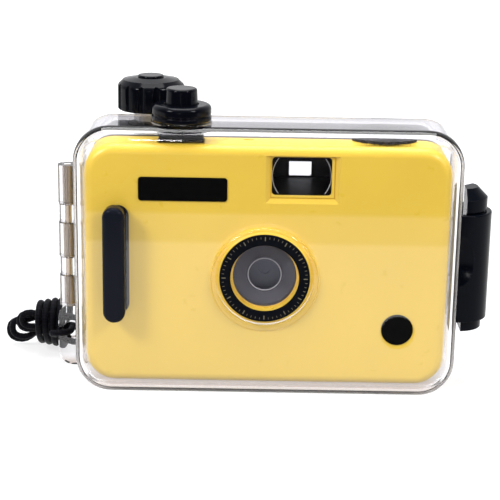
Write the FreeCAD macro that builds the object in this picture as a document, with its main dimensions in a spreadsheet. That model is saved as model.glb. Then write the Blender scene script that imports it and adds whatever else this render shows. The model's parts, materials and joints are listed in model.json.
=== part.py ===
"""Underwater film camera: a simple 35 mm camera inside a clear, latched dive case.

Frame: millimetres, X to the viewer's right, Y towards the back, Z up.
The origin lies on the flat underside of the case, under the front shell.
The front shell swings open on the left-hand hinge; everything else stays with the rear shell.
"""
import FreeCAD
import Part
import Sketcher
import math
import os
import re

V = FreeCAD.Vector
doc = FreeCAD.newDocument("underwater_film_camera")
sheet = doc.addObject("Spreadsheet::Sheet", "Sizes")
pieces = []

# Clear case
case_width = 122
case_height = 87.2
front_reach = 20.5        # origin to the front face
seam_y = 1.9              # rear rim of the front shell
seam_gap = 0.4            # left for the squeezed seal between the rims
rear_depth = 21.7
case_wall = 1.9
case_corner = 11.5
front_round = 4
rear_round = 6
top_drop = 4.3            # the rear shell's roof falls by this much towards the back
seal_width = 1.5
seal_inset = 0.45
boss_round = 0.3

# Camera inside the case
side_gap = 1.3            # lets the swinging rim pass the camera
bottom_gap = 1.2
top_gap = 3.9
front_gap = 1.2
back_gap = 5.5
clear_cut = 1             # how far a cutting tool runs past what it cuts
cover_split = 1.5         # where the camera's yellow cover meets its back door
cover_wall = 1.6
cover_corner = 9.6
cover_round = 3.0
rib_width = 3.0
rib_height = 40
rib_spacing = 70
foot_depth = 10
foot_set = 1              # behind the rim

# Lens, port and shutter
lens_offset = -0.6        # from the middle of the case
lens_drop = 47.5          # below the case's top
port_radius = 17.0
port_raise = 2.5
port_wall = 1.5
port_window = 2.0
port_round = 0.9
barrel_radius = 14.7
barrel_bore = 10.85
barrel_raise = 2.8
barrel_depth = 9.0
barrel_tube = 1.4
barrel_round = 0.3
ring_thick = 0.4
ring_inset = 0.4
glass_radius = 10.1
glass_rise = 1.2
glass_edge = 1.0
glass_round = 1.14
mount_depth = 4.4
mount_lip = 0.6
mount_cone = 1.8
inner_lens_radius = 5.5
inner_lens_thick = 2.2
inner_lens_set = 1.9      # behind the front lens
inner_lens_round = 0.7
aperture_radius = 1.9
aperture_thick = 0.8
blade_thick = 0.4
blade_clear = 0.3
blade_pivot_out = 8.0
blade_radius = 3.4
blade_hub = 2.0
blade_arm = 2.4
blade_pin = 0.8

# Viewfinder
finder_offset = 11.4      # from the lens axis
finder_lift = 1.85        # its tunnel above the chassis
finder_width = 19.8
finder_height = 13.1
finder_bevel = 1.7
finder_brow = 0.3         # its bevel along the top
finder_trim = 0.8         # clears the roof's inner corners
finder_wall = 1.0
finder_land = 0.3         # straight stretch behind the bevel
pane_thick = 1.0
eyepiece_radius = 4.7
eyepiece_drop = 3.7
eyepiece_wall = 0.7
eyepiece_seat = 2.0
eyepiece_proud = 0.3
eyepiece_round = 0.6
mask_width = 7.4          # dark frame in front of the eyepiece
mask_height = 4.9
mask_thick = 0.8

# Film path
film_plane = 9.5
gate_width = 36
gate_height = 24
gate_wall = 2.5
film_under = 5            # room under the film
film_over = 3
tunnel_room_x = 4         # the light tunnel's mouth, past the aperture
tunnel_room_z = 3
film_width = 35
plate_thick = 2.0
plate_gap = 3.2           # between the cover and the chassis plates
plate_back_gap = 1.4
plate_lead = 1.5          # in front of the ears
ear_set = 3               # ears in front of the tunnel's mouth
ear_width = 8
pressure_thick = 0.8
pressure_gap = 0.3        # the film's own room
pressure_over = 4
pressure_inset = 0.5
pressure_round = 2
leaf_thick = 0.4
leaf_reach = 16
leaf_crown = 7
leaf_width = 10
screw_radius = 1.2
screw_head = 2.2
screw_rise = 1.2
screw_inset = 7.8         # from the camera's side
screw_grip = 3.5          # thread in the cover's post
screw_hole = 4
screw_fit = 0.1
post_wall = 1.8
screw_spread_z = 32

# Winding
knob_reach = 11.4         # axis outside the sprocket's
knob_back = 10.0          # behind the origin
knob_radius = 10.8
knob_height = 10.4
knob_clear = 0.5          # under the knob, above the case
knob_grooves = 14
knob_foot = 0.5
knob_shoulder = 2.4
knob_slope = 1.8
knob_crown = 0.7
knob_socket = 2.6
knob_round = 1.6
groove_set = 0.825        # groove axis outside the knob
groove_top = 1.6          # grooves end this much below the top
groove_radius = 1.5
cap_radius = 4.2
cap_raise = 0.7
cap_land = 1.0            # knob's flat round the cap
cap_round = 0.42
shaft_radius = 2.0
shaft_fit = 0.05
bushing_radius = 3.9
bushing_flange = 4.8
flange_thick = 0.6
collar_step = 0.5         # bushing above its flange
boss_radius = 5.6
boss_drop = 0.9           # below the case's top
boss_sink = 0.1
seal_radius = 0.45
clip_thick = 0.4
clip_radius = 3.0
clip_gap = 0.3
clip_lift = 0.15
end_gap = 0.1
tongue_width = 1.6
tongue_long = 3.6
tongue_deep = 1.6
tongue_root = 0.2
key_long_gap = 0.6
key_wide_gap = 0.5
key_deep = 2.0
wheel_radius = 7.4
wheel_thick = 4.6
wheel_proud = 0.1         # above the camera's roof
wheel_grooves = 30
wheel_tooth = 0.55
wheel_tooth_set = 0.25
wheel_gap = 0.4
spool_core = 3.2
spool_flange = 5.0
spool_shaft = 2.4
spool_end = 0.3
spool_rim = 1.0
spool_foot = 1.6
spool_slit = 1.0
sprocket_room = 0.5       # between its teeth and the light tunnel
film_thick = 0.4
sprocket_radius = 4.5
sprocket_teeth = 6
tooth_height = 0.9
tooth_width = 1.1
tooth_long = 1.6
tooth_root = 1.0
sprocket_core = 3.15
sprocket_wheel = 4.0      # width of each toothed wheel
sprocket_low = 2.7        # lower wheel above the spool's foot
sprocket_high = 6.4
sprocket_shaft = 1.2

# Shutter button
button_reach = 10.9       # axis inside the knob's
button_back = -9.0
button_radius = 5.2
button_rise = 5.0         # above the collar
button_travel = 2.2
button_boss = 9.6
boss_raise = 0.6
collar_radius = 9.4
collar_height = 5.2
collar_floor = 1.2
collar_foot = 0.4
band_low = 1.5            # a shallow groove round the collar
band_high = 2.3
band_deep = 0.5
band_slope = 0.2
collar_round = 1.5
button_gap = 0.3
button_spare = 0.4        # left under the cap when it is pressed
button_draft = 0.3
button_crown = 1.4
button_socket = 1.0
button_round = 0.8
stem_radius = 2.0
stem_round = 0.3
spring_room = 0.3
spigot_radius = 4.4
nut_width = 14
nut_depth = 12
nut_thick = 1.8
nut_round = 1.2
spring_wire = 0.3          # radius of the wire
spring_radius = 2.9
spring_turns = 4
release_width = 14
release_depth = 9
release_thick = 2.4
release_proud = 1.2
release_fit = 0.3
release_round = 0.8
release_foot = 1.3
release_reach = 4.0
release_root = 0.2
post_spare = 0.3
post_radius = 2.3
release_gap = 0.3
release_coil = 1.9
release_wire = 0.25
release_turns = 5

# Rewind knob and frame counter
rewind_inset = 24.2       # from the case's right side
rewind_back = -3.0
rewind_radius = 10.3
rewind_thick = 1.2
rewind_tooth = 0.6
rewind_tooth_set = 0.3
fork_reach = 26
fork_radius = 2.4
fork_slot = 1.8
fork_deep = 3.5
rewind_lift = 0.2
counter_x = -10.0
counter_back = -6.0
counter_radius = 6.0
counter_thick = 0.8
counter_window = 1.8
counter_window_out = 3.6
counter_pin_low = 0.8
counter_gap = 0.2

# Hinge on the left
hinge_out = 3.9           # pin axis outside the case's left side
hinge_top = 70.5
hinge_bottom = 23.0
barrel_outer = 3.3
small_barrel = 3.0
pin_radius = 1.2
pin_fit = 0.05
short_knuckle = 5.8
first_short = 10.7        # above the hinge's lower end
second_short = 28.6
knuckle_gap = 0.4
pin_short = 0.3           # pins end inside their barrels

# Latch on the right
latch_bottom = 22.8
latch_height = 35.7
latch_bow_x = 2.0         # centre of the lever's bow, outside the case's right side
latch_bow_y = -1.0
latch_radius = 9.8
latch_wall = 2.2
latch_pin_x = 5.7
latch_pin_y = 6.9
latch_barrel = 2.4
latch_gap = 0.35
arm_end = 5.4             # hinge arms inside the lever's ends
arm_long = 5.6
arm_thick = 3.36
scoop_radius = 24
scoop_x = 2.8
scoop_y = 32.2
scoop_z = 20.6
latch_round = 0.5
catch_height = 1.2
catch_thick = 1.3
catch_inset = 2
catch_bevel = 0.4
lock_head = 7.3
lock_tip = 3.5
lock_rest = 0.5           # air between the lever and the slider's head
lock_radius = 8.2
lock_core = 7.1
lock_travel = 3.0
lock_air = 0.3
lock_spare = 0.5
lock_back = 3.9           # slider's flat, in front of the pin
lock_side = 0.6
lock_bevel = 3.285
lock_block = 20           # half a side of the block that trims it

# Grip bar, plain plate and plain disc
grip_inset = 13.1         # from the case's left side
grip_width = 7.0
grip_bottom = 25.3
grip_height = 37.6
grip_stand = 4.6
grip_end = 3.48           # radius of its round ends
grip_round = 1.6
backing_shift = 0.9
backing_width = 7.0
backing_bottom = 26.8
backing_height = 35.5
backing_thick = 0.5
plate_inset = 34.3        # plain name plate, centre from the case's left side
plate_drop = 13.9         # its centre below the camera's roof
name_width = 27.9
name_height = 7.6
badge_inset = 18.9        # plain disc, centre from the case's right side
badge_height = 22.3
badge_radius = 5.1
label_thick = 0.3
label_round = 1

# Strap and its lug
lug_out = 8.4
lug_top = 21.4
lug_y = 5.0
lug_thick = 2.6
lug_lift = 0.3
lug_round = 4.2
lug_low_round = 5.04
lug_root_width = 4.6
lug_root_height = 3.45
lug_hole_out = 4.0
lug_hole_z = 12.6
lug_hole_radius = 2.9
cord_radius = 1.15
hank_x = -78.0            # where the hank's loops leave the tie, on the left
hank_length = 8.7         # held straight through the tie
hank_y = 16.2             # first strand
hank_z = 9.9              # middle of the tie
hank_pitch = 2.75
hank_loops = 4
hank_half = 2.5           # half a loop's height inside the tie
hank_fan = 1.15           # the loops rise and fall by this inside the tie
hank_tail = 2.0
hank_end = 3.2
hank_exit = 1.0
loop_reach = 8.3          # the mean loop's tip, out of the tie
loop_spread = 2.9         # more or less reach, from loop to loop
loop_drop = 1.3           # the mean loop's tip, below the tie's middle
loop_swing = 3.3          # rise and fall of the tips
loop_radius = 3.1
loop_narrow = 0.5
loop_tuck = 3.4           # reach of the turns on the right
hank_lean = 0.06          # each turn's drift to the back, as a slope
tie_turns = 4
tie_pitch = 2.5
tie_half_y = 9.2
tie_half_z = 8.5

# Every size goes into the sheet under its own name
names = [name for name, value in globals().items() if isinstance(value, (int, float))]
for row, name in enumerate(names, 1):
    sheet.set(f"A{row}", name)
    sheet.set(f"B{row}", str(globals()[name]))
    sheet.setAlias(f"B{row}", name)
doc.recompute()

pattern = re.compile(r"\b(" + "|".join(sorted(names, key=len, reverse=True)) + r")\b")


def bound(words):
    """Turn plain size names into references to the sheet."""
    return pattern.sub(r"Sizes.\1", words)


def number(words):
    """Work an expression of size names out now."""
    return float(sheet.evalExpression(bound(words)))


# Places that several pieces share
LEFT = "(-case_width/2)"
RIGHT = "(case_width/2)"
FRONT = "(-front_reach)"
RIM = "(seam_y + seam_gap)"
REAR = "(seam_y + seam_gap + rear_depth)"
CAM_RIGHT = "(case_width/2 - case_wall - side_gap)"
CAM_LEFT = "(-case_width/2 + case_wall + side_gap)"
CAM_FRONT = "(-front_reach + case_wall + front_gap)"
CAM_BACK = "(seam_y + seam_gap + rear_depth - case_wall - back_gap)"
CAM_FLOOR = "(case_wall + bottom_gap)"
CAM_ROOF = "(case_height - case_wall - top_gap)"
LENS_X = "lens_offset"
LENS_Z = "(case_height - lens_drop)"
FINDER_X = "(lens_offset + finder_offset)"
KNOB_Z = "(case_height + knob_clear)"
COLLAR_Z = "(case_height + boss_raise)"
REWIND_X = "(case_width/2 - rewind_inset)"
SPROCKET_X = "(lens_offset - gate_width/2 - gate_wall - sprocket_room - sprocket_radius - tooth_height)"
KNOB_X = f"({SPROCKET_X} - knob_reach)"
BUTTON_X = f"({KNOB_X} + button_reach)"
HINGE_X = "(-case_width/2 - hinge_out)"
HINGE_Y = "(seam_y + seam_gap/2)"
BOW_X = "(case_width/2 + latch_bow_x)"
PIVOT_X = "(case_width/2 + latch_pin_x)"
LATCH_TOP = "(latch_bottom + latch_height)"
PLATE_LOW = f"({LENS_Z} - film_width/2 - film_under)"
PLATE_HIGH = f"({LENS_Z} + film_width/2 + film_over)"
PLATES_LOW = f"({PLATE_LOW} - plate_thick)"
PLATES_HIGH = f"({PLATE_HIGH} + plate_thick)"
FINDER_Z = f"({PLATES_HIGH} + finder_lift + finder_wall + finder_height/2)"
EYE_Z = f"({FINDER_Z} - eyepiece_drop)"
BARREL_FACE = f"({CAM_FRONT} - barrel_raise)"
BARREL_END = f"({CAM_FRONT} + barrel_depth)"

# The strap's way through its lug, in mm: in from the back, round the lug's edge and back to the hank
STRAP_ROUTE = [(-65.4, 15.8, 13.5), (-64.8, 15.1, 13.45), (-64.4, 14.2, 13.4), (-64.4, 12.6, 13.2),
               (-64.7, 10.2, 12.9), (-65.1, 7.6, 12.5), (-65.2, 5.5, 12.3), (-65.6, 4.6, 12.2),
               (-66.3, 3.9, 12.15), (-67.3, 3.45, 12.1), (-69.6, 3.45, 11.9), (-70.8, 4.1, 11.6),
               (-71.6, 5.2, 11.2), (-71.8, 6.6, 10.7), (-71.3, 7.9, 10.1), (-70.3, 8.9, 9.4),
               (-68.6, 9.3, 8.6), (-66.9, 9.8, 7.6), (-65.4, 10.9, 6.7), (-64.1, 12.6, 6.0),
               (-63.4, 14.7, 5.5), (-63.2, 17.0, 5.3), (-63.15, 19.5, 5.3), (-63.25, 22.0, 5.6),
               (-63.2, 24.6, 6.0), (-63.55, 25.5, 6.15), (-64.2, 26.2, 6.2)]

TURN = {"Y": FreeCAD.Rotation(V(1, 0, 0), -90), "Z": FreeCAD.Rotation()}


def place(thing, at):
    """Tie an object's position to three expressions."""
    for axis, words in zip("xyz", at):
        thing.setExpression(f"Placement.Base.{axis}", bound(words))


def along(axis):
    """Pick straight edges that run along one axis."""
    way = {"X": V(1, 0, 0), "Y": V(0, 1, 0), "Z": V(0, 0, 1)}[axis]

    def test(edge):
        start = edge.valueAt(edge.FirstParameter)
        end = edge.valueAt(edge.LastParameter)
        straight = abs(start.distanceToPoint(end) - edge.Length) < 1e-6
        return straight and abs((end - start).normalize().dot(way)) > 0.97
    return test


def level(axis, words):
    """Pick edges that lie wholly at one coordinate."""
    value = number(words)
    return lambda edge: all(abs(getattr(p, axis) - value) < 1e-4 for p in edge.discretize(5))


def beyond(axis, words, sign=1):
    """Pick edges whose middle lies past a coordinate."""
    value = number(words)
    return lambda edge: sign * (getattr(edge.CenterOfMass, axis) - value) > 1e-4


def circle_of(words):
    """Pick round edges of one radius."""
    value = number(words)
    return lambda edge: hasattr(edge.Curve, "Radius") and abs(edge.Curve.Radius - value) < 1e-4


class Piece:
    """One solid piece, grown feature by feature in a body of its own."""

    def __init__(self, label, at=("0", "0", "0"), axis="Z"):
        self.label = label
        self.count = 0
        self.body = doc.addObject("PartDesign::Body", label)
        self.body.Label = label
        self.body.Placement.Rotation = TURN[axis]
        place(self.body, at)
        pieces.append(self.body)

    def feature(self, kind):
        self.count += 1
        return self.body.newObject(f"PartDesign::{kind}", f"{self.label}_{self.count}")

    def box(self, x, y, z, cut=False):
        """A block between two expressions on each axis."""
        block = self.feature("SubtractiveBox" if cut else "AdditiveBox")
        for name, (low, high) in zip(("Length", "Width", "Height"), (x, y, z)):
            block.setExpression(name, bound(f"({high}) - ({low})"))
        place(block, (x[0], y[0], z[0]))
        doc.recompute()
        return self

    def rod(self, at, radius, length, axis="Z", cut=False, sector=None):
        """A cylinder from a point along an axis, or a sector of one (start and sweep in degrees)."""
        rod = self.feature("SubtractiveCylinder" if cut else "AdditiveCylinder")
        rod.setExpression("Radius", bound(radius))
        rod.setExpression("Height", bound(length))
        rod.Placement.Rotation = TURN[axis]
        if sector:
            rod.Placement.Rotation = FreeCAD.Rotation(V(0, 0, 1), sector[0])
            rod.Angle = sector[1]
        place(rod, at)
        doc.recompute()
        return self

    def ball(self, at, radius, cut=False):
        ball = self.feature("SubtractiveSphere" if cut else "AdditiveSphere")
        ball.setExpression("Radius", bound(radius))
        place(ball, at)
        doc.recompute()
        return self

    def torus(self, at, major, minor, cut=False):
        ring = self.feature("SubtractiveTorus" if cut else "AdditiveTorus")
        ring.setExpression("Radius1", bound(major))
        ring.setExpression("Radius2", bound(minor))
        place(ring, at)
        doc.recompute()
        return self

    def edges(self, *tests):
        found = enumerate(self.body.Tip.Shape.Edges, 1)
        chosen = [f"Edge{n}" for n, edge in found if all(test(edge) for test in tests)]
        if not chosen:
            raise ValueError(f"{self.label}: no edge to treat")
        return self.body.Tip, chosen

    def round(self, radius, *tests):
        """Round the edges that pass every test."""
        base = self.edges(*tests)
        fillet = self.feature("Fillet")
        fillet.Base = base
        fillet.setExpression("Radius", bound(radius))
        doc.recompute()
        return self

    def bevel(self, width, *tests):
        base = self.edges(*tests)
        chamfer = self.feature("Chamfer")
        chamfer.Base = base
        chamfer.setExpression("Size", bound(width))
        doc.recompute()
        return self

    def hollow(self, wall, axis, *levels):
        """Turn the solid into a shell that is open at one or two flat faces."""
        values = [number(words) for words in levels]
        tip = self.body.Tip
        faces = enumerate(tip.Shape.Faces, 1)
        chosen = [f"Face{n}" for n, face in faces
                  if any(all(abs(getattr(p.Point, axis) - value) < 1e-4 for p in face.Vertexes)
                         for value in values)]
        shell = self.feature("Thickness")
        shell.Base = (tip, chosen)
        shell.setExpression("Value", bound(wall))
        shell.Reversed = True
        doc.recompute()
        return self

    def outline(self, plane, points):
        """A sketch of straight lines through points given as expressions."""
        sketch = self.body.newObject("Sketcher::SketchObject", f"{self.label}_outline_{self.count}")
        base = [o for o in self.body.Origin.OriginFeatures if o.Role == f"{plane}_Plane"][0]
        sketch.AttachmentSupport = [(base, "")]
        sketch.MapMode = "FlatFace"
        spots = [V(number(u), number(v), 0) for u, v in points]
        for start, end in zip(spots, spots[1:] + spots[:1]):
            sketch.addGeometry(Part.LineSegment(start, end), False)
        for n, (u, v) in enumerate(points):
            sketch.addConstraint(Sketcher.Constraint("Coincident", n, 2, (n + 1) % len(points), 1))
            for kind, words, axis in (("DistanceX", u, -2), ("DistanceY", v, -1)):
                if words == "0":
                    sketch.addConstraint(Sketcher.Constraint("PointOnObject", n, 1, axis))
                    continue
                datum = Sketcher.Constraint(kind, -1, 1, n, 1, number(words))
                sketch.setExpression(f"Constraints[{sketch.addConstraint(datum)}]", bound(words))
        doc.recompute()
        return sketch

    def slab(self, plane, points, length, middle=False):
        """Push an outline straight out of its plane."""
        sketch = self.outline(plane, points)
        pad = self.feature("Pad")
        pad.Profile = sketch
        pad.setExpression("Length", bound(length))
        pad.Midplane = middle
        doc.recompute()
        return self

    def turned(self, points):
        """Spin an outline of (radius, height) points about the piece's own axis."""
        sketch = self.outline("XZ", points)
        spin = self.feature("Revolution")
        spin.Profile = sketch
        spin.ReferenceAxis = (sketch, ["V_Axis"])
        spin.Angle = 360
        doc.recompute()
        return self

    def repeat(self, count):
        """Copy the last feature evenly about the piece's own axis."""
        last = self.body.Tip
        ring = self.feature("PolarPattern")
        ring.Originals = [last]
        axis = [o for o in self.body.Origin.OriginFeatures if o.Role == "Z_Axis"][0]
        ring.Axis = (axis, [""])
        ring.Angle = 360
        ring.setExpression("Occurrences", bound(count))
        self.body.Tip = ring
        doc.recompute()
        return self


def span(middle, width):
    """The two ends of a width about its middle."""
    return f"({middle} - ({width})/2)", f"({middle} + ({width})/2)"


# Front shell: a clear tray, open at the back, with a raised port for the lens
front = Piece("housing_front")
front.box((LEFT, RIGHT), (FRONT, "seam_y"), ("0", "case_height"))
front.round("case_corner", along("Y"))
front.round("front_round", level("y", FRONT))
front.hollow("case_wall", "y", "seam_y")
front.rod((LENS_X, f"{FRONT} - port_raise", LENS_Z), "port_radius", "port_raise + case_wall/2", "Y")
front.round("port_round", level("y", f"{FRONT} - port_raise"), circle_of("port_radius"))
front.rod((LENS_X, f"{FRONT} - port_raise + port_window", LENS_Z), "port_radius - port_wall",
          "port_raise - port_window + case_wall + clear_cut", "Y", cut=True)
front.rod((BUTTON_X, "button_back", "case_height - case_wall/2"), "button_boss",
          "case_wall/2 + boss_raise")
front.round("boss_round", level("z", "case_height + boss_raise"))
front.rod((BUTTON_X, "button_back", "case_height - 2*case_wall"), "spigot_radius",
          "2*case_wall + 2*boss_raise", cut=True)
for start in ("first_short", "second_short"):
    low = f"(hinge_bottom + {start})"
    high = f"({low} + short_knuckle)"
    front.box((HINGE_X, f"{LEFT} + case_wall/2"), (f"{HINGE_Y} - small_barrel", "seam_y"), (low, high))
    front.rod((HINGE_X, HINGE_Y, low), "small_barrel", "short_knuckle")
    front.rod((HINGE_X, HINGE_Y, low), "pin_radius + pin_fit", "short_knuckle", cut=True)
CATCH_Y = "(latch_bow_y - latch_radius + latch_wall + latch_gap)"
front.box((f"{RIGHT} - case_wall/2", f"{RIGHT} + catch_height"), (CATCH_Y, f"{CATCH_Y} + catch_thick"),
          ("latch_bottom + catch_inset", f"{LATCH_TOP} - catch_inset"))
front.bevel("catch_bevel", along("Z"), beyond("x", f"{RIGHT} + catch_height/2"))

# Rear shell: its roof slopes down to the back; it carries hinge, latch, knob and strap lug
back = Piece("housing_back")
back.slab("YZ", [(RIM, "0"), (REAR, "0"), (REAR, "case_height - top_drop"), (RIM, "case_height")],
          "case_width", middle=True)
back.round("case_corner", along("Y"))
back.round("rear_round", level("y", REAR))
back.hollow("case_wall", "y", RIM)
BOSS_LOW = ("(case_height - case_wall - boss_sink"
            f" - top_drop*(knob_back + boss_radius - {RIM})/rear_depth)")
BOSS_HIGH = "(case_height - boss_drop)"
back.rod((KNOB_X, "knob_back", BOSS_LOW), "boss_radius", f"{BOSS_HIGH} - {BOSS_LOW}")
back.rod((KNOB_X, "knob_back", f"{BOSS_LOW} - clear_cut"), "bushing_radius",
         f"{BOSS_HIGH} - {BOSS_LOW} + 2*clear_cut", cut=True)
back.rod((KNOB_X, "knob_back", BOSS_HIGH), "boss_radius", "case_wall", cut=True)
LONG_SPANS = [("hinge_bottom", "hinge_bottom + first_short - knuckle_gap"),
              ("hinge_bottom + first_short + short_knuckle + knuckle_gap",
               "hinge_bottom + second_short - knuckle_gap"),
              ("hinge_bottom + second_short + short_knuckle + knuckle_gap", "hinge_top")]
for low, high in LONG_SPANS:
    back.box((HINGE_X, f"{LEFT} + case_wall/2"), (RIM, f"{HINGE_Y} + barrel_outer"), (low, high))
    back.rod((HINGE_X, HINGE_Y, low), "barrel_outer", f"{high} - ({low})")
back.rod((HINGE_X, HINGE_Y, "hinge_bottom - clear_cut"), "pin_radius", "hinge_top - hinge_bottom + 2*clear_cut",
         cut=True)
LATCH_SPANS = [("latch_bottom + arm_end", "latch_bottom + arm_end + arm_long"),
               (f"{LATCH_TOP} - arm_end - arm_long", f"{LATCH_TOP} - arm_end")]
for low, high in LATCH_SPANS:
    back.box((f"{RIGHT} - case_wall/2", PIVOT_X), span("latch_pin_y", "arm_thick"), (low, high))
    back.rod((PIVOT_X, "latch_pin_y", low), "latch_barrel", f"{high} - ({low})")
back.rod((PIVOT_X, "latch_pin_y", "latch_bottom"), "pin_radius", "latch_height", cut=True)
back.box((f"{LEFT} - lug_out", f"{LEFT} + case_wall/2"), ("lug_y", "lug_y + lug_thick"),
         ("lug_lift", "lug_top"))
back.round("lug_round", along("Y"), beyond("z", "lug_top - lug_lift"), beyond("x", LEFT, -1))
back.round("lug_low_round", along("Y"), beyond("z", "2*lug_lift", -1), beyond("x", f"{LEFT} - lug_lift", -1))
back.box((f"{LEFT} - lug_thick/2", f"{LEFT} + lug_root_width"), ("lug_y", "lug_y + lug_thick"),
         ("lug_lift", "lug_root_height"))
back.rod((f"{LEFT} - lug_hole_out", "lug_y - clear_cut", "lug_hole_z"), "lug_hole_radius",
         "lug_thick + 2*clear_cut", "Y", cut=True)
for side in ("-rib_spacing/2", "rib_spacing/2"):
    back.box(span(side, "rib_width"), (CAM_BACK, f"{REAR} - case_wall/2"), span("case_height/2", "rib_height"))
    back.box(span(side, "rib_width"), (f"{RIM} + foot_set", f"{RIM} + foot_set + foot_depth"),
             ("case_wall/2", CAM_FLOOR))

# Seal, squeezed between the two rims
seal = Piece("housing_seal")
seal.box((f"{LEFT} + seal_inset", f"{RIGHT} - seal_inset"), ("seam_y", RIM),
         ("seal_inset", "case_height - seal_inset"))
seal.round("case_corner - seal_inset", along("Y"))
seal.hollow("seal_width", "y", "seam_y", RIM)

# Hinge pin
pin = Piece("hinge_pin")
pin.rod((HINGE_X, HINGE_Y, "hinge_bottom + pin_short"), "pin_radius", "hinge_top - hinge_bottom - 2*pin_short")

# Latch lever: a bowed cover on a barrel, with its front edge hooked over the catch
lever = Piece("latch_lever")
BOW = (BOW_X, "latch_bow_y", "latch_bottom")
LEVER_SWEEP = (-100, 165)        # start and sweep, in degrees
SLIDER_SWEEP = (-88, 130)
lever.rod(BOW, "latch_radius", "latch_height", sector=LEVER_SWEEP)
lever.rod(BOW, "latch_radius - latch_wall", "latch_height", cut=True)
lever.rod((PIVOT_X, "latch_pin_y", "latch_bottom"), "latch_barrel", "latch_height")
lever.rod(BOW, "lock_radius + lock_air", "lock_travel + lock_spare", cut=True)
for low, high in LATCH_SPANS:
    lever.rod((PIVOT_X, "latch_pin_y", f"{low} - latch_gap"), "latch_barrel + latch_gap",
              f"{high} - ({low}) + 2*latch_gap", cut=True)
lever.rod((PIVOT_X, "latch_pin_y", "latch_bottom - clear_cut"), "pin_radius + pin_fit", "latch_height + 2*clear_cut",
          cut=True)
lever.ball((f"{BOW_X} - scoop_x", "latch_bow_y - scoop_y", "latch_bottom + scoop_z"), "scoop_radius", cut=True)
lever.round("latch_round", level("z", LATCH_TOP), circle_of("latch_radius"))

latch_pin = Piece("latch_pin")
latch_pin.rod((PIVOT_X, "latch_pin_y", "latch_bottom + pin_short"), "pin_radius", "latch_height - 2*pin_short")

# Lock slider: stands inside the lever, with a head above it and a tip below it
slider = Piece("lock_slider")
SLIDER_LOW = "(latch_bottom - lock_tip)"
HEAD_LOW = f"({LATCH_TOP} + lock_rest)"
slider.rod((BOW_X, "latch_bow_y", SLIDER_LOW), "lock_core", f"{HEAD_LOW} - {SLIDER_LOW}", sector=SLIDER_SWEEP)
slider.rod((BOW_X, "latch_bow_y", HEAD_LOW), "lock_radius", "lock_head", sector=SLIDER_SWEEP)
slider.rod((BOW_X, "latch_bow_y", SLIDER_LOW), "lock_radius", "lock_tip - lock_air", sector=SLIDER_SWEEP)
ALL_HIGH = ("latch_bottom - lock_block", f"{LATCH_TOP} + lock_block")
slider.box((f"{BOW_X} - lock_block", f"{BOW_X} + lock_block"),
           ("latch_pin_y - lock_back", "latch_pin_y + lock_block"), ALL_HIGH, cut=True)
slider.box((f"{BOW_X} - lock_block", f"{BOW_X} + lock_side"),
           ("latch_bow_y - lock_block", "latch_bow_y + lock_block"), ALL_HIGH, cut=True)
slider.bevel("lock_bevel", level("z", f"{HEAD_LOW} + lock_head"), circle_of("lock_radius"))

# Winding knob and what turns with it
knob = Piece("winding_knob", (KNOB_X, "knob_back", KNOB_Z))
knob.turned([("shaft_radius", "0"), ("knob_radius - knob_foot", "0"), ("knob_radius", "knob_foot"),
             ("knob_radius", "knob_height - knob_shoulder"), ("knob_radius - knob_slope", "knob_height - knob_crown"),
             ("cap_radius + cap_land", "knob_height"), ("0", "knob_height"), ("0", "knob_height - knob_socket"),
             ("shaft_radius", "knob_height - knob_socket")])
knob.round("knob_round", level("z", "knob_height - knob_shoulder"))
knob.rod(("knob_radius + groove_set", "0", "-clear_cut"), "groove_radius", "knob_height + clear_cut - groove_top",
         cut=True)
knob.repeat("knob_grooves")

cap = Piece("knob_cap", (KNOB_X, "knob_back", f"{KNOB_Z} + knob_height"))
cap.rod(("0", "0", "0"), "cap_radius", "cap_raise")
cap.round("cap_round", level("z", "cap_raise"))

WHEEL_TOP = f"({CAM_ROOF} + wheel_proud)"
SHAFT_LOW = f"({WHEEL_TOP} + end_gap)"
shaft = Piece("knob_shaft")
shaft.rod((KNOB_X, "knob_back", SHAFT_LOW), "shaft_radius", f"{KNOB_Z} + knob_height - knob_socket - {SHAFT_LOW}")
shaft.box(span(KNOB_X, "tongue_long"), span("knob_back", "tongue_width"),
          (f"{WHEEL_TOP} - tongue_deep", f"{SHAFT_LOW} + tongue_root"))

bushing = Piece("knob_bushing", (KNOB_X, "knob_back", BOSS_HIGH))
BORE = "(shaft_radius + shaft_fit)"
BUSH_LOW = f"({BOSS_LOW} - {BOSS_HIGH})"
bushing.turned([(BORE, BUSH_LOW), ("bushing_radius", BUSH_LOW), ("bushing_radius", "0"),
                ("bushing_flange", "0"), ("bushing_flange", "flange_thick"), ("bushing_radius", "flange_thick"),
                ("bushing_radius", "flange_thick + collar_step"), (BORE, "flange_thick + collar_step")])
bushing.torus(("0", "0", f"{BUSH_LOW}/2"), f"{BORE} + seal_radius", "seal_radius", cut=True)
bushing.rod(("0", "0", BUSH_LOW), "clip_radius + clip_gap", "clip_thick + clip_gap", cut=True)
knob_seal = Piece("knob_seal", (KNOB_X, "knob_back", f"({BOSS_HIGH} + {BOSS_LOW})/2"))
knob_seal.torus(("0", "0", "0"), f"{BORE} + seal_radius", "seal_radius")
clip = Piece("knob_clip", (KNOB_X, "knob_back", f"{BOSS_LOW} + clip_lift"))
clip.rod(("0", "0", "0"), "clip_radius", "clip_thick")
clip.rod(("0", "0", "0"), "shaft_radius", "clip_thick", cut=True)

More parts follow.
